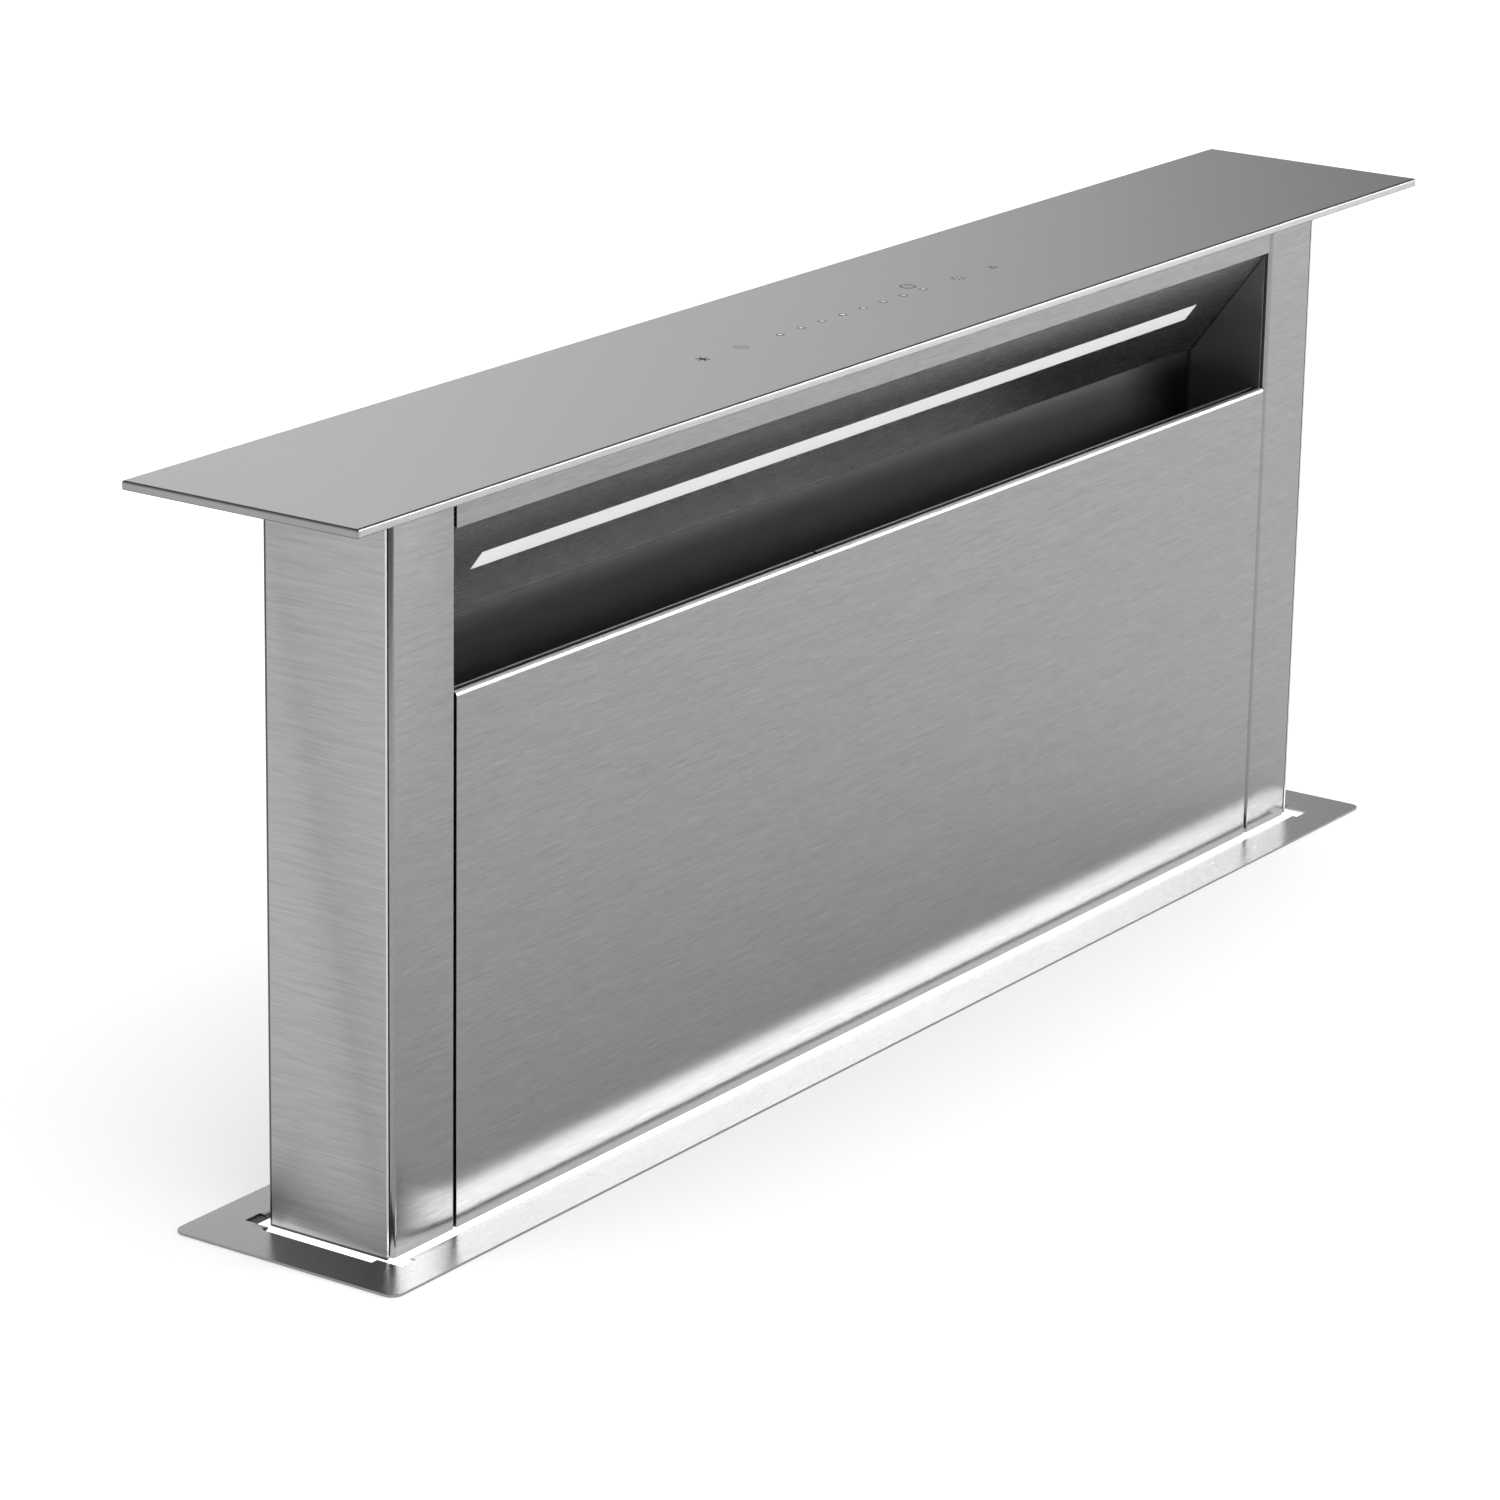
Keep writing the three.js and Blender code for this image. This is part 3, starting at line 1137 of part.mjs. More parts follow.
// Half-round flap. Its own z axis is the pin and y points away from the pin across the duct.
// `knuckles` lists the middles of its hinge tubes along the pin, `clear` those of its partner.
function damperFlap(knuckles, clear) {
  const r = ductInner - FLAP_CLEARANCE;
  const near = KNUCKLE_D / 2 - 0.8;
  const start = Math.asin(near / r);
  const shape = new THREE.Shape();
  shape.absarc(0, 0, r, start, Math.PI - start);
  const plate = extrudeZ(shape, -FLAP_T / 2, FLAP_T / 2, 12).rotateY(Math.PI / 2);
  const tubeAt = (z, radius) => rod(radius, z - KNUCKLE_L / 2, z + KNUCKLE_L / 2, 16);
  const tubes = knuckles.map((z) => tubeAt(z, KNUCKLE_D / 2));
  const notches = clear.map((z) => rod(KNUCKLE_D / 2 + 1, z - KNUCKLE_L / 2 - 1, z + KNUCKLE_L / 2 + 1, 16));
  const flap = cut(plate, ...notches);
  return cut(join(flap, ...tubes), rod(PIN_D / 2 + JOURNAL_CLEARANCE, -DUCT_D, DUCT_D, 16));
}

// ---------------------------------------------------------------- electronics

const boxBack = chassisFront - FIT;
const boxX = chassisEnd - BOX_MARGIN - BOX_W / 2;
const box = {
  x0: boxX - BOX_W / 2, x1: boxX + BOX_W / 2,
  z0: BOX_Z - BOX_H / 2, z1: BOX_Z + BOX_H / 2,
  front: boxBack - BOX_D,
};
const glandX = boxX + BOX_W / 4;
const glandY = boxBack - BOX_D / 2;

function electronicsBox() {
  const outer = block(box.x0, box.x1, box.front, boxBack, box.z0, box.z1);
  const room = block(
    box.x0 + BOX_SHEET, box.x1 - BOX_SHEET, box.front - 1, boxBack - BOX_SHEET,
    box.z0 + BOX_SHEET, box.z1 - BOX_SHEET);
  const glandHole = rod(GLAND_R - 2, box.z0 - 5, box.z0 + 5).translate(glandX, glandY, 0);
  return cut(outer, room, glandHole);
}

function electronicsLid() {
  const front = box.front - FIT;
  const plate = block(box.x0, box.x1, front - BOX_SHEET, front, box.z0, box.z1);
  const grip = BOX_SHEET + FIT;
  const rim = block(
    box.x0 + grip, box.x1 - grip, front - BOX_SHEET / 2, front + 5, box.z0 + grip, box.z1 - grip);
  const rimRoom = block(
    box.x0 + 2 * grip, box.x1 - 2 * grip, front, front + 10, box.z0 + 2 * grip, box.z1 - 2 * grip);
  return join(plate, cut(rim, rimRoom));
}

// Circuit board with its larger components: transformer, relays and terminal block.
function controlBoard() {
  const inset = BOX_SHEET + BOARD_INSET;
  const back = boxBack - BOX_SHEET - FIT;
  const face = back - BOARD_POST_L;
  const board = block(box.x0 + inset, box.x1 - inset, face - BOARD_T, face, box.z0 + inset, box.z1 - inset);
  const post = (x, z) => rod(BOARD_POST_R, -back, BOARD_T / 2 - face, 12)
    .rotateX(Math.PI / 2).translate(x, 0, z);
  const corner = inset + 2 * BOARD_POST_R;
  const posts = [box.x0 + corner, box.x1 - corner].flatMap((x) =>
    [box.z0 + corner, box.z1 - corner].map((z) => post(x, z)));
  const on = face - BOARD_T / 2;
  const components = BOARD_COMPONENTS.map(([x, z, w, h, d]) => {
    const [cx, cz, hw, hh] = [boxX + x * BOX_W, BOX_Z + z * BOX_H, (w * BOX_W) / 2, (h * BOX_H) / 2];
    return block(cx - hw, cx + hw, on - d * BOX_D, on, cz - hh, cz + hh);
  });
  return join(board, ...posts, ...components);
}

// Strain-relief gland in the box's underside, with its lock nut inside.
function cableGland() {
  const neck = GLAND_R - 2 - FIT;
  const z = box.z0;
  return join(
    turned([[4, z + 6], [neck, z + 6], [neck, z - 3], [GLAND_R - 1, z - GLAND_L + 3],
      [6.5, z - GLAND_L], [4, z - GLAND_L], [4, z + 6]], 16),
    cut(rod(GLAND_R, z - 6, z - FIT, 6), rod(4.5, z - 10, z + 1, 12)),
    cut(rod(GLAND_R, z + BOX_SHEET + FIT, z + 5, 6), rod(4.5, z, z + 10, 12)),
  ).translate(glandX, glandY, 0);
}

// ---------------------------------------------------------------- assembly

const vent = new THREE.Group();

const tower = new THREE.Group();
tower.position.z = capBottom;
vent.add(tower);
add(tower, 'top_cap', topCap(), brushedSteel);
add(tower, 'cap_backing', capBacking(), blackPlastic);
add(tower, 'touch_board', touchBoard(), circuitBoard);
addPair(tower, 'side_cover', sideCover(), brushedSteel);
addPair(tower, 'front_stile', frontStile(), brushedSteel);
add(tower, 'header_strip', headerStrip(), brushedSteel);
add(tower, 'rear_panel', rearPanel(), brushedSteel);
addPair(tower, 'mouth_side', mouthSide(), darkSteel);
add(tower, 'duct_back_wall', ductBackWall(), darkSteel);
add(tower, 'light_panel', lightPanel(), darkSteel);
const lamp = new THREE.Group();
lamp.applyMatrix4(lampMatrix);
tower.add(lamp);
add(lamp, 'light_diffuser', lampDiffuser(), opalPlastic);
add(lamp, 'light_channel', lampChannel(), aluminium);
add(tower, 'front_panel', frontPanel(), brushedSteel);
const skinEnd = panelEnd - SKIN_SHEET - FIT;
add(tower, 'inner_skin_left', innerSkin(-skinEnd, INNER_SKIN_SPLIT - INNER_SKIN_GAP / 2), zincSheet);
add(tower, 'inner_skin_right', innerSkin(INNER_SKIN_SPLIT + INNER_SKIN_GAP / 2, skinEnd), zincSheet);
add(tower, 'grease_filter_left', greaseFilter(-panelEnd, -FIT / 2), aluminium);
add(tower, 'grease_filter_right', greaseFilter(FIT / 2, panelEnd), aluminium);
add(tower, 'filter_rest', filterRest(), darkSteel);
add(tower, 'top_rail', topRail(), zincSheet);
add(tower, 'bottom_rail', bottomRail(), zincSheet);
addPair(tower, 'end_frame', endFrame(), zincSheet);
addPair(tower, 'lift_nut', liftNut(), whiteNylon);
addPair(tower, 'guide_shoe', guideShoe(), whiteNylon);

add(vent, 'worktop_flange', worktopFlange(), brushedSteel);
add(vent, 'chassis_front', chassisFrontWall(), zincSheet);
add(vent, 'chassis_back', chassisWall().rotateZ(Math.PI), zincSheet);
addPair(vent, 'chassis_end', chassisEndWall(), zincSheet);
add(vent, 'chassis_floor', chassisFloor(), zincSheet);
addPair(vent, 'worktop_bracket', worktopBracket(), zincSheet);
addPair(vent, 'guide_rail', guideRail(), aluminium);
addPair(vent, 'slot_guide', slotGuide(), whiteNylon);
addPair(vent, 'lift_screw', liftScrew(), screwSteel);
addPair(vent, 'corner_gearbox', cornerGearbox(), aluminium);
add(vent, 'cross_shaft', crossShaft(), screwSteel).position.z = shaftZ;
add(vent, 'lift_gearmotor', liftGearmotor(), blackPlastic);

const blower = new THREE.Group();
blower.rotation.x = Math.PI / 2;
blower.position.set(BLOWER_X, chassisFront - FIT, BLOWER_Z);
vent.add(blower);
add(blower, 'scroll_body', scrollBody(), zincSheet);
add(blower, 'scroll_cover', scrollCover(), zincSheet);
add(blower, 'impeller', impeller(), zincSheet);
add(blower, 'motor_shaft', motorShaft(), screwSteel);
add(blower, 'fan_motor', fanMotor(), blackPlastic);
add(blower, 'duct_adapter', ductAdapter(), greyPlastic);
const damper = new THREE.Group();
damper.position.set(damperX, outletMid, DUCT_SET);
damper.rotation.x = -Math.PI / 2;
blower.add(damper);
const outerKnuckles = [-40, 40];
const middleKnuckle = [0];
add(damper, 'damper_pin', damperPin(), screwSteel);
add(damper, 'damper_flap_rear', damperFlap(outerKnuckles, middleKnuckle), aluminium);
const frontFlap = damperFlap(middleKnuckle, outerKnuckles).rotateZ(Math.PI);
add(damper, 'damper_flap_front', frontFlap, aluminium);

add(vent, 'electronics_box', electronicsBox(), zincSheet);
add(vent, 'electronics_lid', electronicsLid(), zincSheet);
add(vent, 'control_board', controlBoard(), circuitBoard);
add(vent, 'cable_gland', cableGland(), blackPlastic);

export default vent;
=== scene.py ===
"""Retractable downdraft vent, raised out of a worktop.

Every length is in metres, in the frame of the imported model: X along the vent, Y to the back,
Z up, with the worktop's top face at z = 0.
"""

import json
import math

import bpy
from mathutils import Matrix, Quaternion, Vector


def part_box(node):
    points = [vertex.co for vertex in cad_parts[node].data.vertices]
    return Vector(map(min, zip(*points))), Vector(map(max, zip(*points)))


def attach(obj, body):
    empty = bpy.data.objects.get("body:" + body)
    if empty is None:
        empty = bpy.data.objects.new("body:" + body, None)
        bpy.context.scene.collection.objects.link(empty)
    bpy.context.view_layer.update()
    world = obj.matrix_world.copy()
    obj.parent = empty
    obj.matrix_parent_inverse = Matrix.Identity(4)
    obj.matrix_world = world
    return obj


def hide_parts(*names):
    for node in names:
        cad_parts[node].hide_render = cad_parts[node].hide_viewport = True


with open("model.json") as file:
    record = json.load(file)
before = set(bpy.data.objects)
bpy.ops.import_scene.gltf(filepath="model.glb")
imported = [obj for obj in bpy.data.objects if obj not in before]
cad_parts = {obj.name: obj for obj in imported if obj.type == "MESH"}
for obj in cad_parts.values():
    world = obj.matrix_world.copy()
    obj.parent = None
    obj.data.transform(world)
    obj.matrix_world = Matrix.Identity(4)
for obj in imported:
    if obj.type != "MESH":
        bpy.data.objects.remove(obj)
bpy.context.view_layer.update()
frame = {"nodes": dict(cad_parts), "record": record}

MM = 0.001
X, Y, Z = Vector((1, 0, 0)), Vector((0, 1, 0)), Vector((0, 0, 1))

# ------------------------------------------------------------------ camera

CAMERA_PLACE = (-2.10696, -1.39700, 0.92441)
CAMERA_AZIMUTH = math.radians(-55.517)
CAMERA_ELEVATION = math.radians(17.568)
CAMERA_ROLL = math.radians(1.014)
CAMERA_LENS = 133.79
CAMERA_SENSOR = 36
CAMERA_NEAR, CAMERA_FAR = 0.05, 50


def make_camera():
    data = bpy.data.cameras.new("camera")
    data.lens = CAMERA_LENS
    data.sensor_width = CAMERA_SENSOR
    data.clip_start = CAMERA_NEAR
    data.clip_end = CAMERA_FAR
    camera = bpy.data.objects.new("camera", data)
    bpy.context.scene.collection.objects.link(camera)
    level = math.cos(CAMERA_ELEVATION)
    back = Vector((
        math.sin(CAMERA_AZIMUTH) * level,
        -math.cos(CAMERA_AZIMUTH) * level,
        math.sin(CAMERA_ELEVATION),
    ))
    right = Vector((math.cos(CAMERA_AZIMUTH), math.sin(CAMERA_AZIMUTH), 0))
    up = back.cross(right)
    rolled_right = right * math.cos(CAMERA_ROLL) + up * math.sin(CAMERA_ROLL)
    rolled_up = up * math.cos(CAMERA_ROLL) - right * math.sin(CAMERA_ROLL)
    turn = Matrix((rolled_right, rolled_up, back)).transposed()
    camera.matrix_world = Matrix.Translation(CAMERA_PLACE) @ turn.to_4x4()
    bpy.context.scene.camera = camera


make_camera()

# ------------------------------------------------------------------ places, from the frame

cap_low, cap_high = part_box("top_cap")
cover_low, cover_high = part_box("side_cover_right")
stile_low, stile_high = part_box("front_stile_right")
header_low, header_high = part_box("header_strip")
panel_low, panel_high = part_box("front_panel")
slope_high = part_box("light_panel")[1]
flange_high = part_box("worktop_flange")[1]
back_wall_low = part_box("duct_back_wall")[0]
screw_low, screw_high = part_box("lift_screw_right")

COVER_SHEET = 1.5 * MM
COVER_FOLD = 2.3 * MM
COVER_SET_BACK = 1.3 * MM
SKIN_SHEET = 1.2 * MM
FOLD_OUTSIDE = 2.0 * MM
STILE_FOLD = 2.4 * MM
STILE_REACH = 1.3 * MM  # of the left stile towards the front panel, leaving a fine seam
# the covers are painted black below this height, a painted shadow line at the tower's foot
FOOT_SHADE_LINE = 1.2 * MM
CUT_EDGE = 0.15 * MM
MARK_HEIGHT = 0.05 * MM
NEAR = 0.01 * MM  # closer than this, two places count as one

# ------------------------------------------------------------------ modelling by hand

EDGE_ANGLE = math.radians(50)  # what is sharper gets a fine bevel
SMOOTH_ANGLE = math.radians(35)  # what is flatter is shaded round
DOUBLES = 1e-6
FOLD_STEPS = 5

# How squarely a face looks along an axis.
FLAT, FACING, HALF_FACING, LEANING, TURNED = 0.99, 0.9, 0.5, 0.3, 0.1


def deselect():
    """Leaves edit mode with nothing selected."""
    if bpy.context.object and bpy.context.object.mode != "OBJECT":
        bpy.ops.object.mode_set(mode="OBJECT")
    bpy.ops.object.select_all(action="DESELECT")


def activate(piece):
    deselect()
    piece.select_set(True)
    bpy.context.view_layer.objects.active = piece


def name_it(name):
    piece = bpy.context.object
    piece.name = name
    piece.data.name = name
    return piece


def place_here(piece):
    """Puts the piece's place, turn and size into its mesh."""
    activate(piece)
    bpy.ops.object.transform_apply(location=True, rotation=True, scale=True)


def block(name, low, high):
    """A cube primitive between two corners."""
    deselect()
    low, high = Vector(low), Vector(high)
    bpy.ops.mesh.primitive_cube_add(size=1, location=(low + high) / 2)
    piece = name_it(name)
    piece.scale = high - low
    place_here(piece)
    return piece


def select_faces(piece, wanted):
    """Edit mode with the faces for which wanted(centre, normal) is true."""
    select_parts(piece, "FACE", lambda part: wanted(part.center, part.normal))


def select_points(piece, wanted):
    """Edit mode with the points for which wanted(place) is true, and the edges between them."""
    select_parts(piece, "VERT", lambda part: wanted(part.co))


def select_edges(piece, wanted):
    """Edit mode with the edges for which wanted(end, other_end) is true."""
    points = piece.data.vertices
    select_parts(piece, "EDGE", lambda part: wanted(*(points[i].co for i in part.vertices)))


def select_parts(piece, kind, wanted):
    activate(piece)
    bpy.ops.object.mode_set(mode="EDIT")
    bpy.ops.mesh.select_mode(type=kind)
    bpy.ops.mesh.select_all(action="DESELECT")
    bpy.ops.object.mode_set(mode="OBJECT")
    mesh = piece.data
    parts = {"FACE": mesh.polygons, "EDGE": mesh.edges, "VERT": mesh.vertices}[kind]
    for part in parts:
        part.select = bool(wanted(part))
    bpy.ops.object.mode_set(mode="EDIT")


def finish_edges(piece, width=CUT_EDGE, segments=2):
    """Breaks the sharp edges with a fine bevel and smooths the rest, flat faces staying flat."""
    activate(piece)
    if width:
        bevel = piece.modifiers.new("edge", "BEVEL")
        bevel.width = width
        bevel.segments = segments
        bevel.limit_method = "ANGLE"
        bevel.angle_limit = EDGE_ANGLE
        bevel.use_clamp_overlap = True
        bpy.ops.object.modifier_apply(modifier="edge")
    bpy.ops.object.shade_smooth_by_angle(angle=SMOOTH_ANGLE)
    flatten = piece.modifiers.new("flat", "WEIGHTED_NORMAL")
    flatten.mode = "FACE_AREA"
    flatten.weight = 100
    flatten.keep_sharp = True
    bpy.ops.object.modifier_apply(modifier="flat")


def close_up(piece):
    """Merges doubles and turns every face outwards."""
    activate(piece)
    bpy.ops.object.mode_set(mode="EDIT")
    bpy.ops.mesh.select_all(action="SELECT")
    bpy.ops.mesh.remove_doubles(threshold=DOUBLES)
    bpy.ops.mesh.normals_make_consistent(inside=False)
    bpy.ops.object.mode_set(mode="OBJECT")


def thicken(piece, thickness):
    """Gives a sheet its thickness, on the side that its normals point away from."""
    activate(piece)
    solidify = piece.modifiers.new("sheet", "SOLIDIFY")
    solidify.thickness = thickness
    solidify.offset = -1
    solidify.use_even_offset = True
    bpy.ops.object.modifier_apply(modifier="sheet")
    close_up(piece)


PLANES = {"X": (Y, Z, X), "Z": (X, Y, Z)}


def bent_sheet(name, axis, run, corners, folds):
    """A sheet with no thickness yet, folded at the corners of a path across `axis`.

    It starts as a plane for the first leg. Each further leg is extruded from the far edge,
    and each fold is then bevelled to its radius.
    """
    across, upward, along = PLANES[axis]
    points = [across * a + upward * b for a, b in corners]
    leg = points[1] - points[0]
    deselect()
    bpy.ops.mesh.primitive_plane_add(size=1)
    piece = name_it(name)
    length = along * (run[1] - run[0])
    middle = (points[0] + points[1]) / 2 + along * (run[0] + run[1]) / 2
    turn = Matrix((leg, length, leg.cross(length).normalized())).transposed().to_4x4()
    piece.matrix_world = Matrix.Translation(middle) @ turn
    place_here(piece)

    def at(corner):
        return lambda place: (place - along * place.dot(along) - corner).length < DOUBLES

    select_points(piece, at(points[1]))
    for start, end in zip(points[1:], points[2:]):
        bpy.ops.mesh.extrude_region_move(TRANSFORM_OT_translate={"value": end - start})
    for k in range(1, len(points) - 1):
        turned = (points[k] - points[k - 1]).angle(points[k + 1] - points[k])
        select_points(piece, at(points[k]))
        bpy.ops.mesh.bevel(
            offset=folds[k - 1] * math.tan(turned / 2), offset_type="OFFSET",
            segments=FOLD_STEPS, profile=0.5, affect="EDGES")
    bpy.ops.object.mode_set(mode="OBJECT")
    return piece


def folded_sheet(name, axis, run, corners, thickness, fold=FOLD_OUTSIDE):
    """A folded sheet with rounded folds. The corners lie on its outer face."""
    piece = bent_sheet(name, axis, run, corners, [fold] * (len(corners) - 2))
    thicken(piece, thickness)
    finish_edges(piece)
    return piece


def split_at(piece, place, normal):
    """Cuts the whole mesh along a plane, leaving both sides."""
    activate(piece)
    bpy.ops.object.mode_set(mode="EDIT")
    bpy.ops.mesh.select_all(action="SELECT")
    bpy.ops.mesh.bisect(plane_co=place, plane_no=normal)
    bpy.ops.object.mode_set(mode="OBJECT")


def copy_of(piece, name, move=(0, 0, 0), mirror=False):
    """A copy with its own mesh, moved, or mirrored to the other end of the vent."""
    activate(piece)
    bpy.ops.object.duplicate()
    twin = name_it(name)
    if mirror:
        twin.scale.x = -1
    twin.location = move
    place_here(twin)
    if mirror:
        close_up(twin)
    return twin


def joined(pieces, name):
    deselect()
    for piece in pieces:
        piece.select_set(True)
    bpy.context.view_layer.objects.active = pieces[0]
    bpy.ops.object.join()
    return name_it(name)


# ------------------------------------------------------------------ materials

NOISE_SPAN = (0.3, 0.7)  # where nearly all values of a noise lie


class Nodes:
    """A node tree, built one node at a time. An input is a value or another node's socket."""

    def __init__(self, tree):
        self.tree = tree

    def node(self, kind, inputs=None, **settings):
        node = self.tree.nodes.new(kind)
        for key, value in settings.items():
            setattr(node, key, value)
        for key, value in (inputs or {}).items():
            self.feed(node.inputs[key], value)
        return node

    def feed(self, socket, value):
        if isinstance(value, bpy.types.NodeSocket):
            self.tree.links.new(value, socket)
        else:
            socket.default_value = value

    def spread(self, value, low, high, start=0.0, end=1.0):
        """The value's run from start to end, stretched to run from low to high."""
        inputs = {
            "Value": value, "From Min": start, "From Max": end, "To Min": low, "To Max": high}
        return self.node("ShaderNodeMapRange", inputs).outputs["Result"]

    def number(self, operation, *values):
        inputs = dict(enumerate(values))
        return self.node("ShaderNodeMath", inputs, operation=operation).outputs["Value"]

    def times(self, a, b):
        return self.number("MULTIPLY", a, b)

    def scaled(self, colour, value):
        """The colour made lighter or darker by a number around 1."""
        inputs = {0: colour, "Scale": value}
        return self.node("ShaderNodeVectorMath", inputs, operation="SCALE").outputs["Vector"]


class Finish(Nodes):
    """A material for one kind of surface."""

    def __init__(self, name):
        self.material = bpy.data.materials.new(name)
        self.material.use_nodes = True
        super().__init__(self.material.node_tree)
        self.shader = self.tree.nodes["Principled BSDF"]
        self.place = self.node("ShaderNodeTexCoord").outputs["Object"]

    def shade(self, **sockets):
        for key, value in sockets.items():
            self.feed(self.shader.inputs[key.replace("_", " ")], value)

    def stretched(self, place, scale):
        inputs = {"Vector": place, "Scale": scale}
        return self.node("ShaderNodeMapping", inputs).outputs["Vector"]

    def noise(self, place, scale=1.0, detail=2.0, roughness=0.5):
        inputs = {"Vector": place, "Scale": scale, "Detail": detail, "Roughness": roughness}
        return self.node("ShaderNodeTexNoise", inputs).outputs["Fac"]

    def around(self, noise, middle, share):
        """The noise spread round a middle value, by a share of it either way."""
        return self.spread(noise, middle * (1 - share), middle * (1 + share), *NOISE_SPAN)

    def bump(self, height, distance):
        inputs = {"Height": height, "Distance": distance}
        return self.node("ShaderNodeBump", inputs).outputs["Normal"]


BRUSH_LENGTH = 0.009
LONG_BRUSH = 0.022
BRUSH_WIDTH = 0.0005
BRUSH_SWAY = 0.0004
SWAY_SCALE = 22
BROADER = 5  # how much broader the soft bands are than the brush marks
ROUGHNESS_SHARE = 0.06
SPANGLE_SCALE, SPANGLE_DEPTH = 130, 4e-6
GRAIN_SHARE = 0.15
TRACK_SCALE = 60


def brushed_steel(name, along, colour, roughness, contrast, drag=0.8, depth=3e-7,
                  length=BRUSH_LENGTH):
    """Stainless steel with short, slightly wavy brush marks along one axis.

    The highlight is drawn out across the marks, so the tangent is set square to them.
    """
    finish = Finish(name)
    sway = finish.spread(
        finish.noise(finish.place, scale=SWAY_SCALE, detail=1), -BRUSH_SWAY, BRUSH_SWAY)
    swayed = finish.node(
        "ShaderNodeVectorMath", {0: finish.place, 1: sway}, operation="ADD").outputs["Vector"]
    mark = [1 / BRUSH_WIDTH] * 3
    mark["XYZ".index(along)] = 1 / length
    band = [scale / BROADER for scale in mark]
    fine = finish.noise(finish.stretched(swayed, mark), detail=3, roughness=0.6)
    broad = finish.noise(finish.stretched(swayed, band), detail=2)
    tone = finish.times(finish.around(fine, 1, contrast), finish.around(broad, 1, contrast / 3))
    tangent = finish.node("ShaderNodeCombineXYZ", {axis: 1.0 for axis in "XYZ" if axis != along})
    finish.shade(
        Base_Color=finish.scaled(colour, tone),
        Roughness=finish.around(fine, roughness, ROUGHNESS_SHARE),
        Normal=finish.bump(fine, depth),
        Metallic=1,
        Anisotropic=drag,
        Tangent=tangent.outputs["Vector"])
    return finish.material


def zinc_sheet(name, colour):
    """Galvanised sheet with a faint spangle."""
    finish = Finish(name)
    cells = finish.node("ShaderNodeTexVoronoi", {"Vector": finish.place, "Scale": SPANGLE_SCALE})
    flake = finish.node("ShaderNodeSeparateColor", {"Color": cells.outputs["Color"]})
    cloud = finish.noise(finish.place, scale=25, detail=4)
    tone = finish.times(
        finish.spread(flake.outputs["Red"], 0.9, 1.08), finish.spread(cloud, 0.92, 1.06))
    finish.shade(
        Base_Color=finish.scaled(colour, tone),
        Roughness=finish.spread(flake.outputs["Green"], 0.32, 0.5),
        Normal=finish.bump(flake.outputs["Blue"], SPANGLE_DEPTH),
        Metallic=0.95)
    return finish.material


def cast_or_satin(name, colour, grain, roughness, metallic, depth=8e-6):
    """A surface with a fine even grain: cast metal, moulded plastic or enamel."""
    finish = Finish(name)
    grains = finish.noise(finish.place, scale=grain, detail=3, roughness=0.6)
    cloud = finish.noise(finish.place, scale=14, detail=3)
    finish.shade(
        Base_Color=finish.scaled(colour, finish.spread(cloud, 0.9, 1.1)),
        Roughness=finish.around(grains, roughness, GRAIN_SHARE),
        Normal=finish.bump(grains, depth),
        Metallic=metallic)
    return finish.material


def opal(name, colour, glow):
    """A light diffuser, lit evenly from behind."""
    material = cast_or_satin(name, colour, 900, 0.35, 0, depth=2e-6)
    shader = material.node_tree.nodes["Principled BSDF"]
    shader.inputs["Emission Color"].default_value = (*colour, 1)
    shader.inputs["Emission Strength"].default_value = glow
    return material


def circuit_board(name):
    """Green solder mask with fine copper tracks under it."""
    finish = Finish(name)
    tracks = finish.node(
        "ShaderNodeTexBrick",
        {"Vector": finish.place, "Scale": TRACK_SCALE, "Mortar Size": 0.03,
         "Color1": (0.012, 0.1, 0.04, 1), "Color2": (0.016, 0.13, 0.05, 1),
         "Mortar": (0.03, 0.2, 0.08, 1)})
    finish.shade(
        Base_Color=tracks.outputs["Color"],
        Roughness=finish.spread(finish.noise(finish.place, scale=300), 0.35, 0.5))
    return finish.material


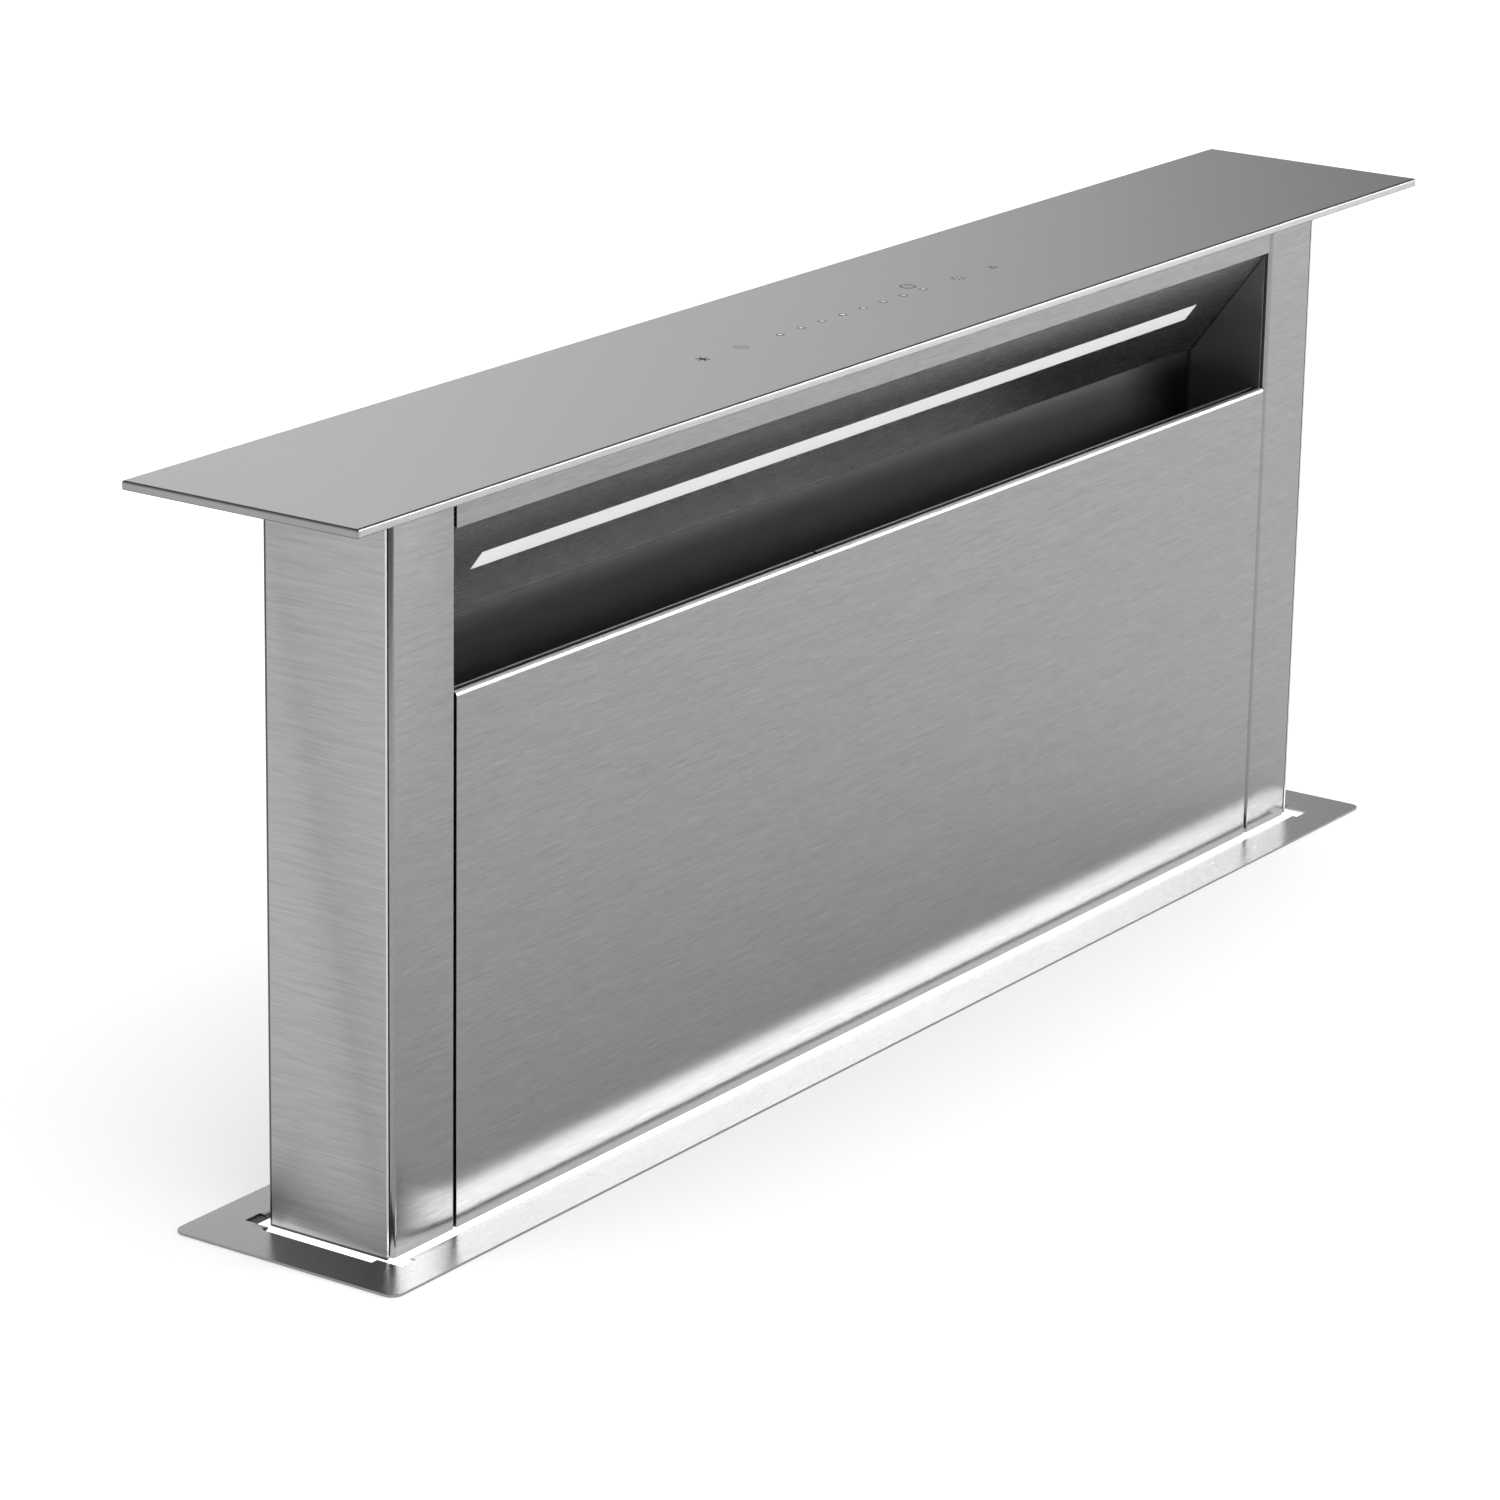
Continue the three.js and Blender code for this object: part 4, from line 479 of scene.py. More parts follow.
finishes = {
    "cap": brushed_steel("cap_brushed", "X", (0.27, 0.27, 0.272), 0.3, 0.05),
    # painted light: the side covers' steel is lighter than the front's, standing in for the light
    # on that side
    "end": brushed_steel(
        "end_brushed", "Y", (0.37, 0.37, 0.372), 0.34, 0.13, depth=1e-6, length=LONG_BRUSH),
    "front": brushed_steel("front_brushed", "X", (0.235, 0.235, 0.237), 0.2, 0.12, drag=0.3),
    "flange": brushed_steel(
        "flange_brushed", "X", (0.3, 0.3, 0.302), 0.26, 0.04, drag=0.3, depth=3e-8),
    # painted highlight: a lighter copy of the steel for the covers' front cut edge
    "cut_edge": brushed_steel("cut_edge_bright", "Z", (0.5, 0.5, 0.5), 0.35, 0.03, drag=0.3),
    "cap_line": brushed_steel("cap_edge_bright", "X", (0.22, 0.22, 0.22), 0.35, 0.03, drag=0.3),
    # painted shade: a near-black copy of the steel, laid on bevels, folds and seam edges as dark
    # shade lines
    "edge_line": brushed_steel("edge_line_dark", "X", (0.08, 0.08, 0.08), 0.3, 0.03, drag=0.3),
    # painted highlight: a lighter copy of the steel for the hem's top and the inner skins' top
    # edges
    "lip": brushed_steel("lip_bright", "X", (0.5, 0.5, 0.5), 0.4, 0.03, drag=0.3),
    "slope": brushed_steel(
        "slope_brushed", "X", (0.24, 0.24, 0.242), 0.27, 0.03, drag=0.3, depth=5e-8),
    # painted light: a lighter copy of the steel for the mouth's side walls, brightening them in
    # the mouth's shade
    "liner": brushed_steel(
        "liner_brushed", "Z", (0.42, 0.42, 0.422), 0.32, 0.03, drag=0.3, depth=5e-8),
    # painted shade: a dark copy of the steel for the dark-sheet parts such as the mouth's back
    # wall, standing in for the shade inside the mouth
    "inside": brushed_steel(
        "inside_brushed", "X", (0.14, 0.14, 0.142), 0.3, 0.05, drag=0.3, depth=1e-7),
    "zinc": zinc_sheet("zinc", (0.5, 0.52, 0.53)),
    "aluminium": cast_or_satin("aluminium_satin", (0.6, 0.61, 0.62), 700, 0.38, 1),
    "screw": brushed_steel(
        "screw_turned", "Z", (0.42, 0.43, 0.44), 0.25, 0.05, drag=0.3, depth=1e-6),
    "enamel": cast_or_satin("black_enamel", (0.02, 0.02, 0.022), 500, 0.35, 0),
    # black plastic, also used as painted shade on the covers' foot and in the mouth's seams
    "black": cast_or_satin("black_moulded", (0.02, 0.02, 0.021), 1500, 0.5, 0, depth=2e-5),
    "grey": cast_or_satin("grey_moulded", (0.12, 0.125, 0.13), 1300, 0.5, 0, depth=2e-5),
    "nylon": cast_or_satin("nylon", (0.7, 0.69, 0.64), 1100, 0.45, 0),
    "opal": opal("opal_diffuser", (0.6, 0.6, 0.6), 0.35),
    "board": circuit_board("solder_mask"),
    "mark": cast_or_satin("etched_mark", (0.09, 0.09, 0.09), 2500, 0.4, 1, depth=1e-6),
    "mark_faint": cast_or_satin("etched_mark_faint", (0.3, 0.3, 0.3), 2500, 0.4, 1, depth=1e-6),
    "mark_lit": cast_or_satin(
        "etched_mark_light", (0.75, 0.75, 0.75), 2500, 0.35, 1, depth=1e-6),
}

NODE_FINISH = {
    "brushed_steel": "front",
    # the dark sheet gets the steel painted dark as shade
    "dark_sheet": "inside",
    "zinc_sheet": "zinc",
    "aluminium": "aluminium",
    "screw_steel": "screw",
    "motor_enamel": "enamel",
    "black_plastic": "black",
    "grey_plastic": "grey",
    "nylon": "nylon",
    "opal_lens": "opal",
    "circuit_board": "board",
}


def paint(piece, finish):
    piece.data.materials.clear()
    piece.data.materials.append(finishes[finish])


# the mouth's side walls take the lightened liner steel, a painted light
OWN_FINISH = {
    "light_panel": "slope", "mouth_side_left": "liner", "mouth_side_right": "liner",
    "inner_skin_left": "front", "inner_skin_right": "front",
}


def paint_nodes():
    for part in frame["record"]["subparts"]:
        name = part["node"]
        paint(frame["nodes"][name], OWN_FINISH.get(name, NODE_FINISH[part["material_slot"]]))


def fit(piece, body, finish, slot, *nodes):
    """Paints a piece, hangs it on its body, and lets it stand for CAD nodes."""
    deselect()
    paint(piece, finish)
    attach(piece, body)
    if nodes:
        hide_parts(*nodes)


def second_finish(piece, finish, wanted):
    """Gives another finish to the faces for which wanted(centre, normal) is true."""
    piece.data.materials.append(finishes[finish])
    select_faces(piece, wanted)
    piece.active_material_index = len(piece.data.materials) - 1
    bpy.ops.object.material_slot_assign()
    bpy.ops.object.mode_set(mode="OBJECT")


paint_nodes()

# ------------------------------------------------------------------ cap

CAP_SHEET = 1.0 * MM
CAP_ROUNDING = 1.1 * MM
CAP_UNDER_EDGE = 0.4 * MM
CAP_ROUND_STEPS = 6
DARK_ABOVE = (0.7, 0.995)  # how far up the faces look that are painted as a dark shade line
# the under edge's faces, painted dark as a shadow line
DARK_BELOW = (-0.97, -0.2)
BRIGHT_FRONT = (0.05, 0.7)


def make_cap():
    """A folded pan: a block with softened edges, hollowed from below.

    Its rounded top edge shows a painted dark shade line above and a bright line in front, and a
    painted shadow line runs along its under edge.
    """
    top = Vector((cap_high.x, cap_high.y, cap_high.z - MARK_HEIGHT))
    pan = block("cap_pan", cap_low, top)
    select_edges(pan, lambda a, b: a.z + b.z > 2 * cap_low.z + CAP_SHEET)
    bpy.ops.mesh.bevel(
        offset=CAP_ROUNDING, segments=CAP_ROUND_STEPS, profile=0.5, affect="EDGES")
    select_edges(pan, lambda a, b: a.z + b.z < 2 * cap_low.z + CAP_UNDER_EDGE)
    bpy.ops.mesh.bevel(offset=CAP_UNDER_EDGE, segments=2, profile=0.5, affect="EDGES")
    select_faces(pan, lambda centre, normal: normal.z < -FLAT)
    bpy.ops.mesh.inset(thickness=CAP_SHEET - CAP_UNDER_EDGE)
    depth = top.z - cap_low.z - CAP_SHEET
    bpy.ops.mesh.extrude_region_move(TRANSFORM_OT_translate={"value": (0, 0, depth)})
    bpy.ops.object.mode_set(mode="OBJECT")
    close_up(pan)
    finish_edges(pan, width=0)
    fit(pan, "tower", "cap", "brushed_steel", "top_cap")
    outside = top.z - CAP_ROUNDING

    def looks(normal, span):
        return span[0] < normal.z < span[1]

    # painted shade: a dark line on the top rounding's upper faces, and a shadow line along the
    # under edge
    second_finish(pan, "edge_line", lambda centre, normal: (
        looks(normal, DARK_ABOVE) and centre.z > outside or looks(normal, DARK_BELOW)))
    second_finish(pan, "cap_line", lambda centre, normal: (
        looks(normal, BRIGHT_FRONT) and centre.z > outside))


# ------------------------------------------------------------------ tower skin


def make_side_covers():
    """The covers fold round the back corner. Their cut edge, painted lighter as a highlight, is
    set behind the stile. A dark shade line is painted on the back fold, and a black shadow line
    along the foot.
    """
    front = cover_low.y + COVER_SET_BACK
    corners = [
        (cover_high.x, front),
        (cover_high.x, cover_high.y),
        (cover_low.x, cover_high.y),
    ]
    right = bent_sheet("cover_right", "Z", (cover_low.z, cover_high.z), corners, [COVER_FOLD])
    thicken(right, COVER_SHEET)
    split_at(right, (0, 0, FOOT_SHADE_LINE), Z)
    finish_edges(right)
    left = copy_of(right, "cover_left", mirror=True)
    for cover, node in ((right, "side_cover_right"), (left, "side_cover_left")):
        # the covers take the lighter steel, a painted light
        fit(cover, "tower", "end", "brushed_steel", node)
        # painted highlight on the front cut edge
        second_finish(cover, "cut_edge", lambda centre, normal: (
            normal.y < -HALF_FACING and centre.y < front + COVER_SHEET))
        # painted shade: a dark line on the back fold
        second_finish(cover, "edge_line", lambda centre, normal: (
            min(abs(normal.x), normal.y) > TURNED and centre.y > cover_high.y - COVER_FOLD))
        # painted shadow: the covers are black below the foot line, at the tower's foot
        second_finish(cover, "black", lambda centre, normal: centre.z < FOOT_SHADE_LINE)


def make_stiles():
    """The left stile reaches closer to the front panel than the right one does."""
    for side, reach in (("right", 0), ("left", STILE_REACH)):
        inner = stile_low.x - reach
        corners = [
            (inner, stile_high.y),
            (inner, stile_low.y),
            (stile_high.x, stile_low.y),
            (stile_high.x, stile_high.y),
        ]
        stile = folded_sheet(
            "stile_" + side, "Z", (stile_low.z, stile_high.z), corners, SKIN_SHEET, STILE_FOLD)
        if side == "left":
            stile.scale.x = -1
            place_here(stile)
            close_up(stile)
        fit(stile, "tower", "front", "brushed_steel", "front_stile_" + side)
        # painted shade: the inner cut edge facing the front panel is dark, a shade line in the
        # seam
        second_finish(stile, "edge_line", lambda centre, normal, inner=inner: (
            abs(centre.x) < inner + CUT_EDGE and abs(normal.x) > FACING))


def make_header():
    corners = [
        (header_high.y, header_high.z),
        (header_low.y, header_high.z),
        (header_low.y, header_low.z),
    ]
    header = folded_sheet("header", "X", (header_low.x, header_high.x), corners, SKIN_SHEET)
    fit(header, "tower", "front", "brushed_steel", "header_strip")


make_cap()
make_side_covers()
make_stiles()
make_header()

# ------------------------------------------------------------------ front panel

HEM = 3.9 * MM
HEM_DROP = 9.0 * MM
HEM_EDGE = 0.3 * MM
PANEL_RETURN = 6.0 * MM


def make_front_panel():
    """The face, a hem rolled over at its top, a folded foot and folded sides."""
    half = HEM / 2
    corners = [
        (panel_low.y + HEM, panel_high.z - HEM_DROP),
        (panel_low.y + HEM, panel_high.z),
        (panel_low.y, panel_high.z),
        (panel_low.y, panel_low.z),
        (panel_low.y + PANEL_RETURN, panel_low.z),
    ]
    run = (panel_low.x, panel_high.x)
    sheet = bent_sheet("panel", "X", run, corners, [half, half, FOLD_OUTSIDE])
    thicken(sheet, SKIN_SHEET)
    back = panel_low.y + PANEL_RETURN
    right = block(
        "panel_side", (run[1] - SKIN_SHEET, panel_low.y + SKIN_SHEET, panel_low.z + SKIN_SHEET),
        (run[1], back, panel_high.z - HEM_DROP))
    select_edges(right, lambda a, b: a.y + b.y > 2 * back - CUT_EDGE)
    bpy.ops.mesh.bevel(offset=SKIN_SHEET / 3, segments=3, affect="EDGES")
    bpy.ops.object.mode_set(mode="OBJECT")
    left = copy_of(right, "panel_side_left", mirror=True)
    finish_edges(sheet, width=HEM_EDGE, segments=3)
    panel = joined([sheet, right, left], "panel")
    finish_edges(panel, width=0)
    fit(panel, "front_panel", "front", "brushed_steel", "front_panel")
    # painted highlight along the rolled hem's top
    second_finish(panel, "lip", lambda centre, normal: (
        centre.z > panel_high.z - half and normal.z > TURNED))
    # painted highlight on the inner skins' top edges
    for side in ("left", "right"):
        second_finish(frame["nodes"]["inner_skin_" + side], "lip", lambda centre, normal: (
            normal.z > FACING and centre.z > panel_high.z - half))


make_front_panel()

# ------------------------------------------------------------------ worktop flange

FLANGE_SHEET = 1.2 * MM
FLANGE_CORNER = 5.5 * MM
LIP_DEPTH = 10 * MM
SLOT_END_GAP, SLOT_SIDE_GAP = 6.2 * MM, 5.6 * MM
LIP_FOLD = 2.0 * MM
RELIEF_IN, RELIEF_W, RELIEF_D = 2.4 * MM, 10 * MM, 4 * MM
END_LIP_CLEAR = 9 * MM
FLANGE_EDGE = 0.2 * MM


def make_flange():
    """A plate with rounded corners. The slot's edges are folded down between relief notches."""
    half_x, half_y = flange_high.x, flange_high.y
    slot_x, slot_y = cover_high.x + SLOT_END_GAP, cover_high.y + SLOT_SIDE_GAP
    notch_x = slot_x - RELIEF_IN
    long_x = notch_x - RELIEF_W
    end_y = slot_y - END_LIP_CLEAR
    deselect()
    bpy.ops.mesh.primitive_plane_add(size=2)
    plate = name_it("flange")
    plate.scale = (half_x, half_y, 1)
    plate.location = (0, 0, flange_high.z)
    place_here(plate)
    for x in (slot_x, notch_x, long_x):
        for side in (-1, 1):
            split_at(plate, (side * x, 0, 0), X)
    for y in (slot_y + RELIEF_D, slot_y, end_y):
        for side in (-1, 1):
            split_at(plate, (0, side * y, 0), Y)

    def in_slot(centre, normal):
        x, y = abs(centre.x), abs(centre.y)
        inside = x < notch_x and y < slot_y
        end = x < slot_x and y < end_y
        relief = long_x < x < notch_x and y < slot_y + RELIEF_D
        return inside or end or relief

    select_faces(plate, in_slot)
    bpy.ops.mesh.delete(type="FACE")
    down = {"value": (0, 0, -LIP_DEPTH - FLANGE_SHEET)}

    def long_edge(side):
        return lambda a, b: (abs(a.y - side * slot_y) < NEAR and abs(b.y - side * slot_y) < NEAR
                             and max(abs(a.x), abs(b.x)) < long_x + NEAR)

    def end_edge(side):
        return lambda a, b: (abs(a.x - side * slot_x) < NEAR and abs(b.x - side * slot_x) < NEAR
                             and max(abs(a.y), abs(b.y)) < end_y + NEAR)

    for edge in (long_edge(-1), long_edge(1), end_edge(-1), end_edge(1)):
        select_edges(plate, edge)
        bpy.ops.mesh.extrude_region_move(TRANSFORM_OT_translate=down)
        bpy.ops.object.mode_set(mode="OBJECT")
    for edge in (long_edge(-1), long_edge(1), end_edge(-1), end_edge(1)):
        select_edges(plate, lambda a, b, edge=edge: (
            edge(a, b) and min(a.z, b.z) > flange_high.z - NEAR))
        bpy.ops.mesh.bevel(
            offset=LIP_FOLD, offset_type="OFFSET", segments=FOLD_STEPS, profile=0.5,
            affect="EDGES")
        bpy.ops.object.mode_set(mode="OBJECT")
    select_points(plate, lambda p: abs(p.x) > half_x - NEAR and abs(p.y) > half_y - NEAR)
    bpy.ops.mesh.bevel(offset=FLANGE_CORNER, segments=8, profile=0.5, affect="VERTICES")
    bpy.ops.object.mode_set(mode="OBJECT")
    thicken(plate, FLANGE_SHEET)
    finish_edges(plate, width=FLANGE_EDGE)
    fit(plate, "chassis", "flange", "brushed_steel", "worktop_flange")


make_flange()

# ------------------------------------------------------------------ touch marks

STAR_AT, STAR_ARMS = (-119.2 * MM, -2.4 * MM), 6
STAR_LENGTH, STAR_LINE = 6.6 * MM, 0.7 * MM
FAN_AT, FAN_BLADES = (-88.9 * MM, -2.4 * MM), 5
BLADE_OUT, BLADE_R, BLADE_STRETCH = 2.6 * MM, 1.5 * MM, 1.15
DOT_AT, DOT_PITCH, DOTS = (-58.4 * MM, -2.6 * MM), 17.04 * MM, 8
DOT_RING_R, DOT_HOLE_R, DOT_MIDDLE_R = 2.1 * MM, 1.4 * MM, 1.2 * MM
DIAL_AT, DIAL_R, DIAL_HOLE_R = (61.1 * MM, 6.2 * MM), 4.2 * MM, 3.2 * MM
LIGHT_AT, LIGHT_RAYS = (91.1 * MM, -2.7 * MM), 8
RAY_OUT, RAY_LENGTH, RAY_LINE = 3 * MM, 1.6 * MM, 0.6 * MM
LIFT_AT, LIFT_R, LIFT_HOLE_R = (121.5 * MM, -3.3 * MM), 3.4 * MM, 2.6 * MM
mark_low = cap_high.z - MARK_HEIGHT


def flat_mark(name, radius, at, sides=24, hole=0.0, stretch=1.0):
    """A thin disc or ring, etched into the cap's top."""
    deselect()
    bpy.ops.mesh.primitive_circle_add(
        vertices=sides, radius=radius, fill_type="NGON", location=(at[0], at[1], mark_low))
    mark = name_it(name)
    mark.scale.x = stretch
    place_here(mark)
    bpy.ops.object.mode_set(mode="EDIT")
    bpy.ops.mesh.select_mode(type="FACE")
    bpy.ops.mesh.select_all(action="SELECT")
    if hole:
        bpy.ops.mesh.inset(thickness=radius - hole)
        bpy.ops.mesh.delete(type="FACE")
        bpy.ops.mesh.select_all(action="SELECT")
    bpy.ops.mesh.extrude_region_move(TRANSFORM_OT_translate={"value": (0, 0, MARK_HEIGHT)})
    bpy.ops.object.mode_set(mode="OBJECT")
    close_up(mark)
    return mark


def turned_copies(piece, count, centre):
    """The piece repeated round a centre on the cap's top, joined into one mark."""
    copies = [piece]
    for k in range(1, count):
        twin = copy_of(piece, f"{piece.name}_{k}")
        bpy.ops.object.mode_set(mode="EDIT")
        bpy.ops.mesh.select_all(action="SELECT")
        bpy.ops.transform.rotate(
            value=math.tau * k / count, orient_axis="Z",
            center_override=(centre[0], centre[1], mark_low))
        bpy.ops.object.mode_set(mode="OBJECT")
        copies.append(twin)
    return joined(copies, piece.name)


def bar_mark(name, at, length, width):
    return block(
        name, (at[0] - length / 2, at[1] - width / 2, mark_low),
        (at[0] + length / 2, at[1] + width / 2, cap_high.z))


def make_marks():
    """Generic touch symbols: boost star, fan, eight speed dots, dial, light and lift."""
    arm = bar_mark("mark_star", STAR_AT, STAR_LENGTH, STAR_LINE)
    star = turned_copies(arm, STAR_ARMS, STAR_AT)
    blade_at = (FAN_AT[0] + BLADE_OUT, FAN_AT[1])
    blade = flat_mark("mark_fan", BLADE_R, blade_at, sides=16, stretch=BLADE_STRETCH)
    fan = turned_copies(blade, FAN_BLADES, FAN_AT)
    dial = flat_mark("mark_dial", DIAL_R, DIAL_AT, sides=40, hole=DIAL_HOLE_R)
    ray_at = (LIGHT_AT[0] + RAY_OUT, LIGHT_AT[1])
    ray = bar_mark("mark_light", ray_at, RAY_LENGTH, RAY_LINE)
    light = turned_copies(ray, LIGHT_RAYS, LIGHT_AT)
    lift = flat_mark("mark_lift", LIFT_R, LIFT_AT, sides=3, hole=LIFT_HOLE_R)
    for colour, marks in (("mark_faint", (star, fan)), ("mark", (dial, light, lift))):
        for mark in marks:
            fit(mark, "tower", colour, "dark_sheet")
    ring = flat_mark("mark_dot_ring_1", DOT_RING_R, DOT_AT, hole=DOT_HOLE_R)
    middle = flat_mark("mark_dot_middle_1", DOT_MIDDLE_R, DOT_AT, sides=16)
    for k in range(DOTS):
        move = (DOT_PITCH * k, 0, 0)
        for piece, colour in ((ring, "mark"), (middle, "mark_lit")):
            name = piece.name[:-1] + str(k + 1)
            dot = copy_of(piece, name, move) if k else piece
            fit(dot, "tower", colour, "dark_sheet")


make_marks()

# ------------------------------------------------------------------ mouth seams, painted shade

SEAM_W = 0.8 * MM


def make_mouth_seams():
    """Black strips that paint shade along the joints where the sloped light panel, the back wall
    and the side walls meet.
    """
    back, side = back_wall_low, slope_high.x
    slope = frame["nodes"]["light_panel"]
    under = [slope.matrix_world @ slope.data.vertices[k].co for face in slope.data.polygons
             if max(face.normal.y, face.normal.z) < -LEANING for k in face.vertices]
    top, foot = max(under, key=lambda p: p.z), min(under, key=lambda p: p.z)
    run = foot - top
    length, lean = math.hypot(run.y, run.z), math.atan2(run.y, -run.z)
    bars = [block("seam_back", (-side, back.y - SEAM_W / 2, foot.z - SEAM_W),
                  (side, back.y + SEAM_W / 2, foot.z))]
    for out in (-side, side - SEAM_W):
        bars.append(block("seam_corner", (out, back.y - SEAM_W, back.z),
                          (out + SEAM_W, back.y, foot.z)))
        leaning = block("seam_slope", (out, top.y - SEAM_W / 2, top.z - length),
                        (out + SEAM_W, top.y, top.z))
        select_points(leaning, lambda p: True)
        bpy.ops.transform.rotate(
            value=-lean, orient_axis="X", center_override=(out, top.y, top.z))
        bpy.ops.object.mode_set(mode="OBJECT")
        bars.append(leaning)
    seams = joined(bars, "mouth_seams")
    close_up(seams)
    finish_edges(seams, width=0)
    # painted shade: black strips in the mouth's joints
    fit(seams, "tower", "black", "dark_sheet")


make_mouth_seams()

# ------------------------------------------------------------------ lift screws

THREAD_LEAD = 16 * MM
THREAD_STARTS = 4
THREAD_ROOT = 4.9 * MM
THREAD_SIDES, THREAD_STEPS = 8, 20  # points to a start, and steps to a turn
LOBE_SHIFT = 0.01  # keeps the root's first point clear of the lobe's edge
SHOULDER_FROM_FOOT, SHOULDER_FROM_TOP = 13 * MM, 22.3 * MM
JOURNAL_R, JOURNAL_EDGE = 5 * MM, 0.5 * MM


def make_lift_screws():
    """A four-start thread on a plain shaft: a lobed ring drawn up along its lead."""
    radius = (screw_high.x - screw_low.x) / 2
    low, high = screw_low.z + SHOULDER_FROM_FOOT, screw_high.z - SHOULDER_FROM_TOP
    axis = Vector(((screw_low.x + screw_high.x) / 2, (screw_low.y + screw_high.y) / 2, low))
    deselect()
    bpy.ops.mesh.primitive_circle_add(
        vertices=THREAD_SIDES * THREAD_STARTS, radius=radius, location=axis)
    thread = name_it("lift_thread")
    share = THREAD_STARTS / math.tau
    select_points(thread, lambda p: (math.atan2(p.y, p.x) * share + LOBE_SHIFT) % 1 > 0.5)
    bpy.ops.transform.resize(
        value=(THREAD_ROOT / radius, THREAD_ROOT / radius, 1), center_override=axis)
    bpy.ops.object.mode_set(mode="OBJECT")
    turns = (high - low) / THREAD_LEAD
    drawn = thread.modifiers.new("thread", "SCREW")
    drawn.angle = math.tau * turns
    drawn.screw_offset = high - low
    drawn.steps = drawn.render_steps = round(turns * THREAD_STEPS)
    activate(thread)
    bpy.ops.object.modifier_apply(modifier="thread")
    place_here(thread)
    for end in (low, high):
        select_points(thread, lambda p, end=end: abs(p.z - end) < NEAR)
        bpy.ops.mesh.edge_face_add()
        bpy.ops.object.mode_set(mode="OBJECT")
    deselect()
    bpy.ops.mesh.primitive_cylinder_add(
        vertices=32, radius=JOURNAL_R, depth=screw_high.z - screw_low.z,
        location=(axis.x, axis.y, (screw_low.z + screw_high.z) / 2))
    shaft = name_it("lift_shaft")
    place_here(shaft)
    select_faces(shaft, lambda centre, normal: abs(normal.z) > FACING)
    bpy.ops.mesh.bevel(offset=JOURNAL_EDGE, segments=2, affect="EDGES")
    bpy.ops.object.mode_set(mode="OBJECT")
    right = joined([thread, shaft], "lift_thread_right")
    close_up(right)
    finish_edges(right, width=0)
    left = copy_of(right, "lift_thread_left", mirror=True)
    for piece, node in ((right, "lift_screw_right"), (left, "lift_screw_left")):
        fit(piece, node, "screw", "screw_steel", node)


make_lift_screws()

# ------------------------------------------------------------------ screw heads

HEAD_R, HEAD_H, HEAD_ROUNDING = 3.6 * MM, 1.8 * MM, 0.7 * MM
SOCKET_R, SOCKET_DEPTH = 1.7 * MM, 1.0 * MM
HEAD_SINK = 0.1 * MM
COVER_RIM = 5 * MM
RIM_HEADS, RIM_START = 10, 0.3
REAR_HEADS_X = (-350 * MM, -117 * MM, 117 * MM, 350 * MM)
REAR_HEADS_Z = (24 * MM, 306 * MM)
CHASSIS_HEADS_X = (-396 * MM, 396 * MM)
CHASSIS_HEADS_Z = (-60 * MM, -300 * MM, -530 * MM)
BRACKET_SHEET = 2 * MM
BRACKET_HEADS_Y, BRACKET_HEAD_OUT = (-15 * MM, 15 * MM), 16 * MM
LID_RIM = 8 * MM


def screw_head():
    """A pan head with a rounded crown and a sunk socket, upright at the origin."""
    deselect()
    bpy.ops.mesh.primitive_cylinder_add(
        vertices=24, radius=HEAD_R, depth=HEAD_H, location=(0, 0, HEAD_H / 2 - HEAD_SINK))
    head = name_it("pan_head")
    place_here(head)
    crown = HEAD_H / 2
    select_edges(head, lambda a, b: min(a.z, b.z) > crown)
    bpy.ops.mesh.bevel(offset=HEAD_ROUNDING, segments=3, affect="EDGES")
    select_faces(head, lambda centre, normal: normal.z > FLAT)
    bpy.ops.mesh.inset(thickness=HEAD_R - HEAD_ROUNDING - SOCKET_R)
    bpy.ops.mesh.extrude_region_move(TRANSFORM_OT_translate={"value": (0, 0, -SOCKET_DEPTH)})
    bpy.ops.object.mode_set(mode="OBJECT")
    close_up(head)
    finish_edges(head, width=0)
    return head


def rim_places(node, centre, face):
    """Places for screws round the rim of a flat cover, found from outside its edge."""
    cover = frame["nodes"][node]
    low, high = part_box(node)
    middle = Vector((centre.x, (low.y + high.y) / 2, centre.z))
    outside = (high - low).length
    places = []
    for k in range(RIM_HEADS):
        angle = math.tau * (k + RIM_START) / RIM_HEADS
        way = Vector((math.cos(angle), 0, math.sin(angle)))
        edge = cover.ray_cast(middle + way * outside, -way)[1]
        rim = edge - way * COVER_RIM
        places.append((rim.x, face, rim.z))
    return places


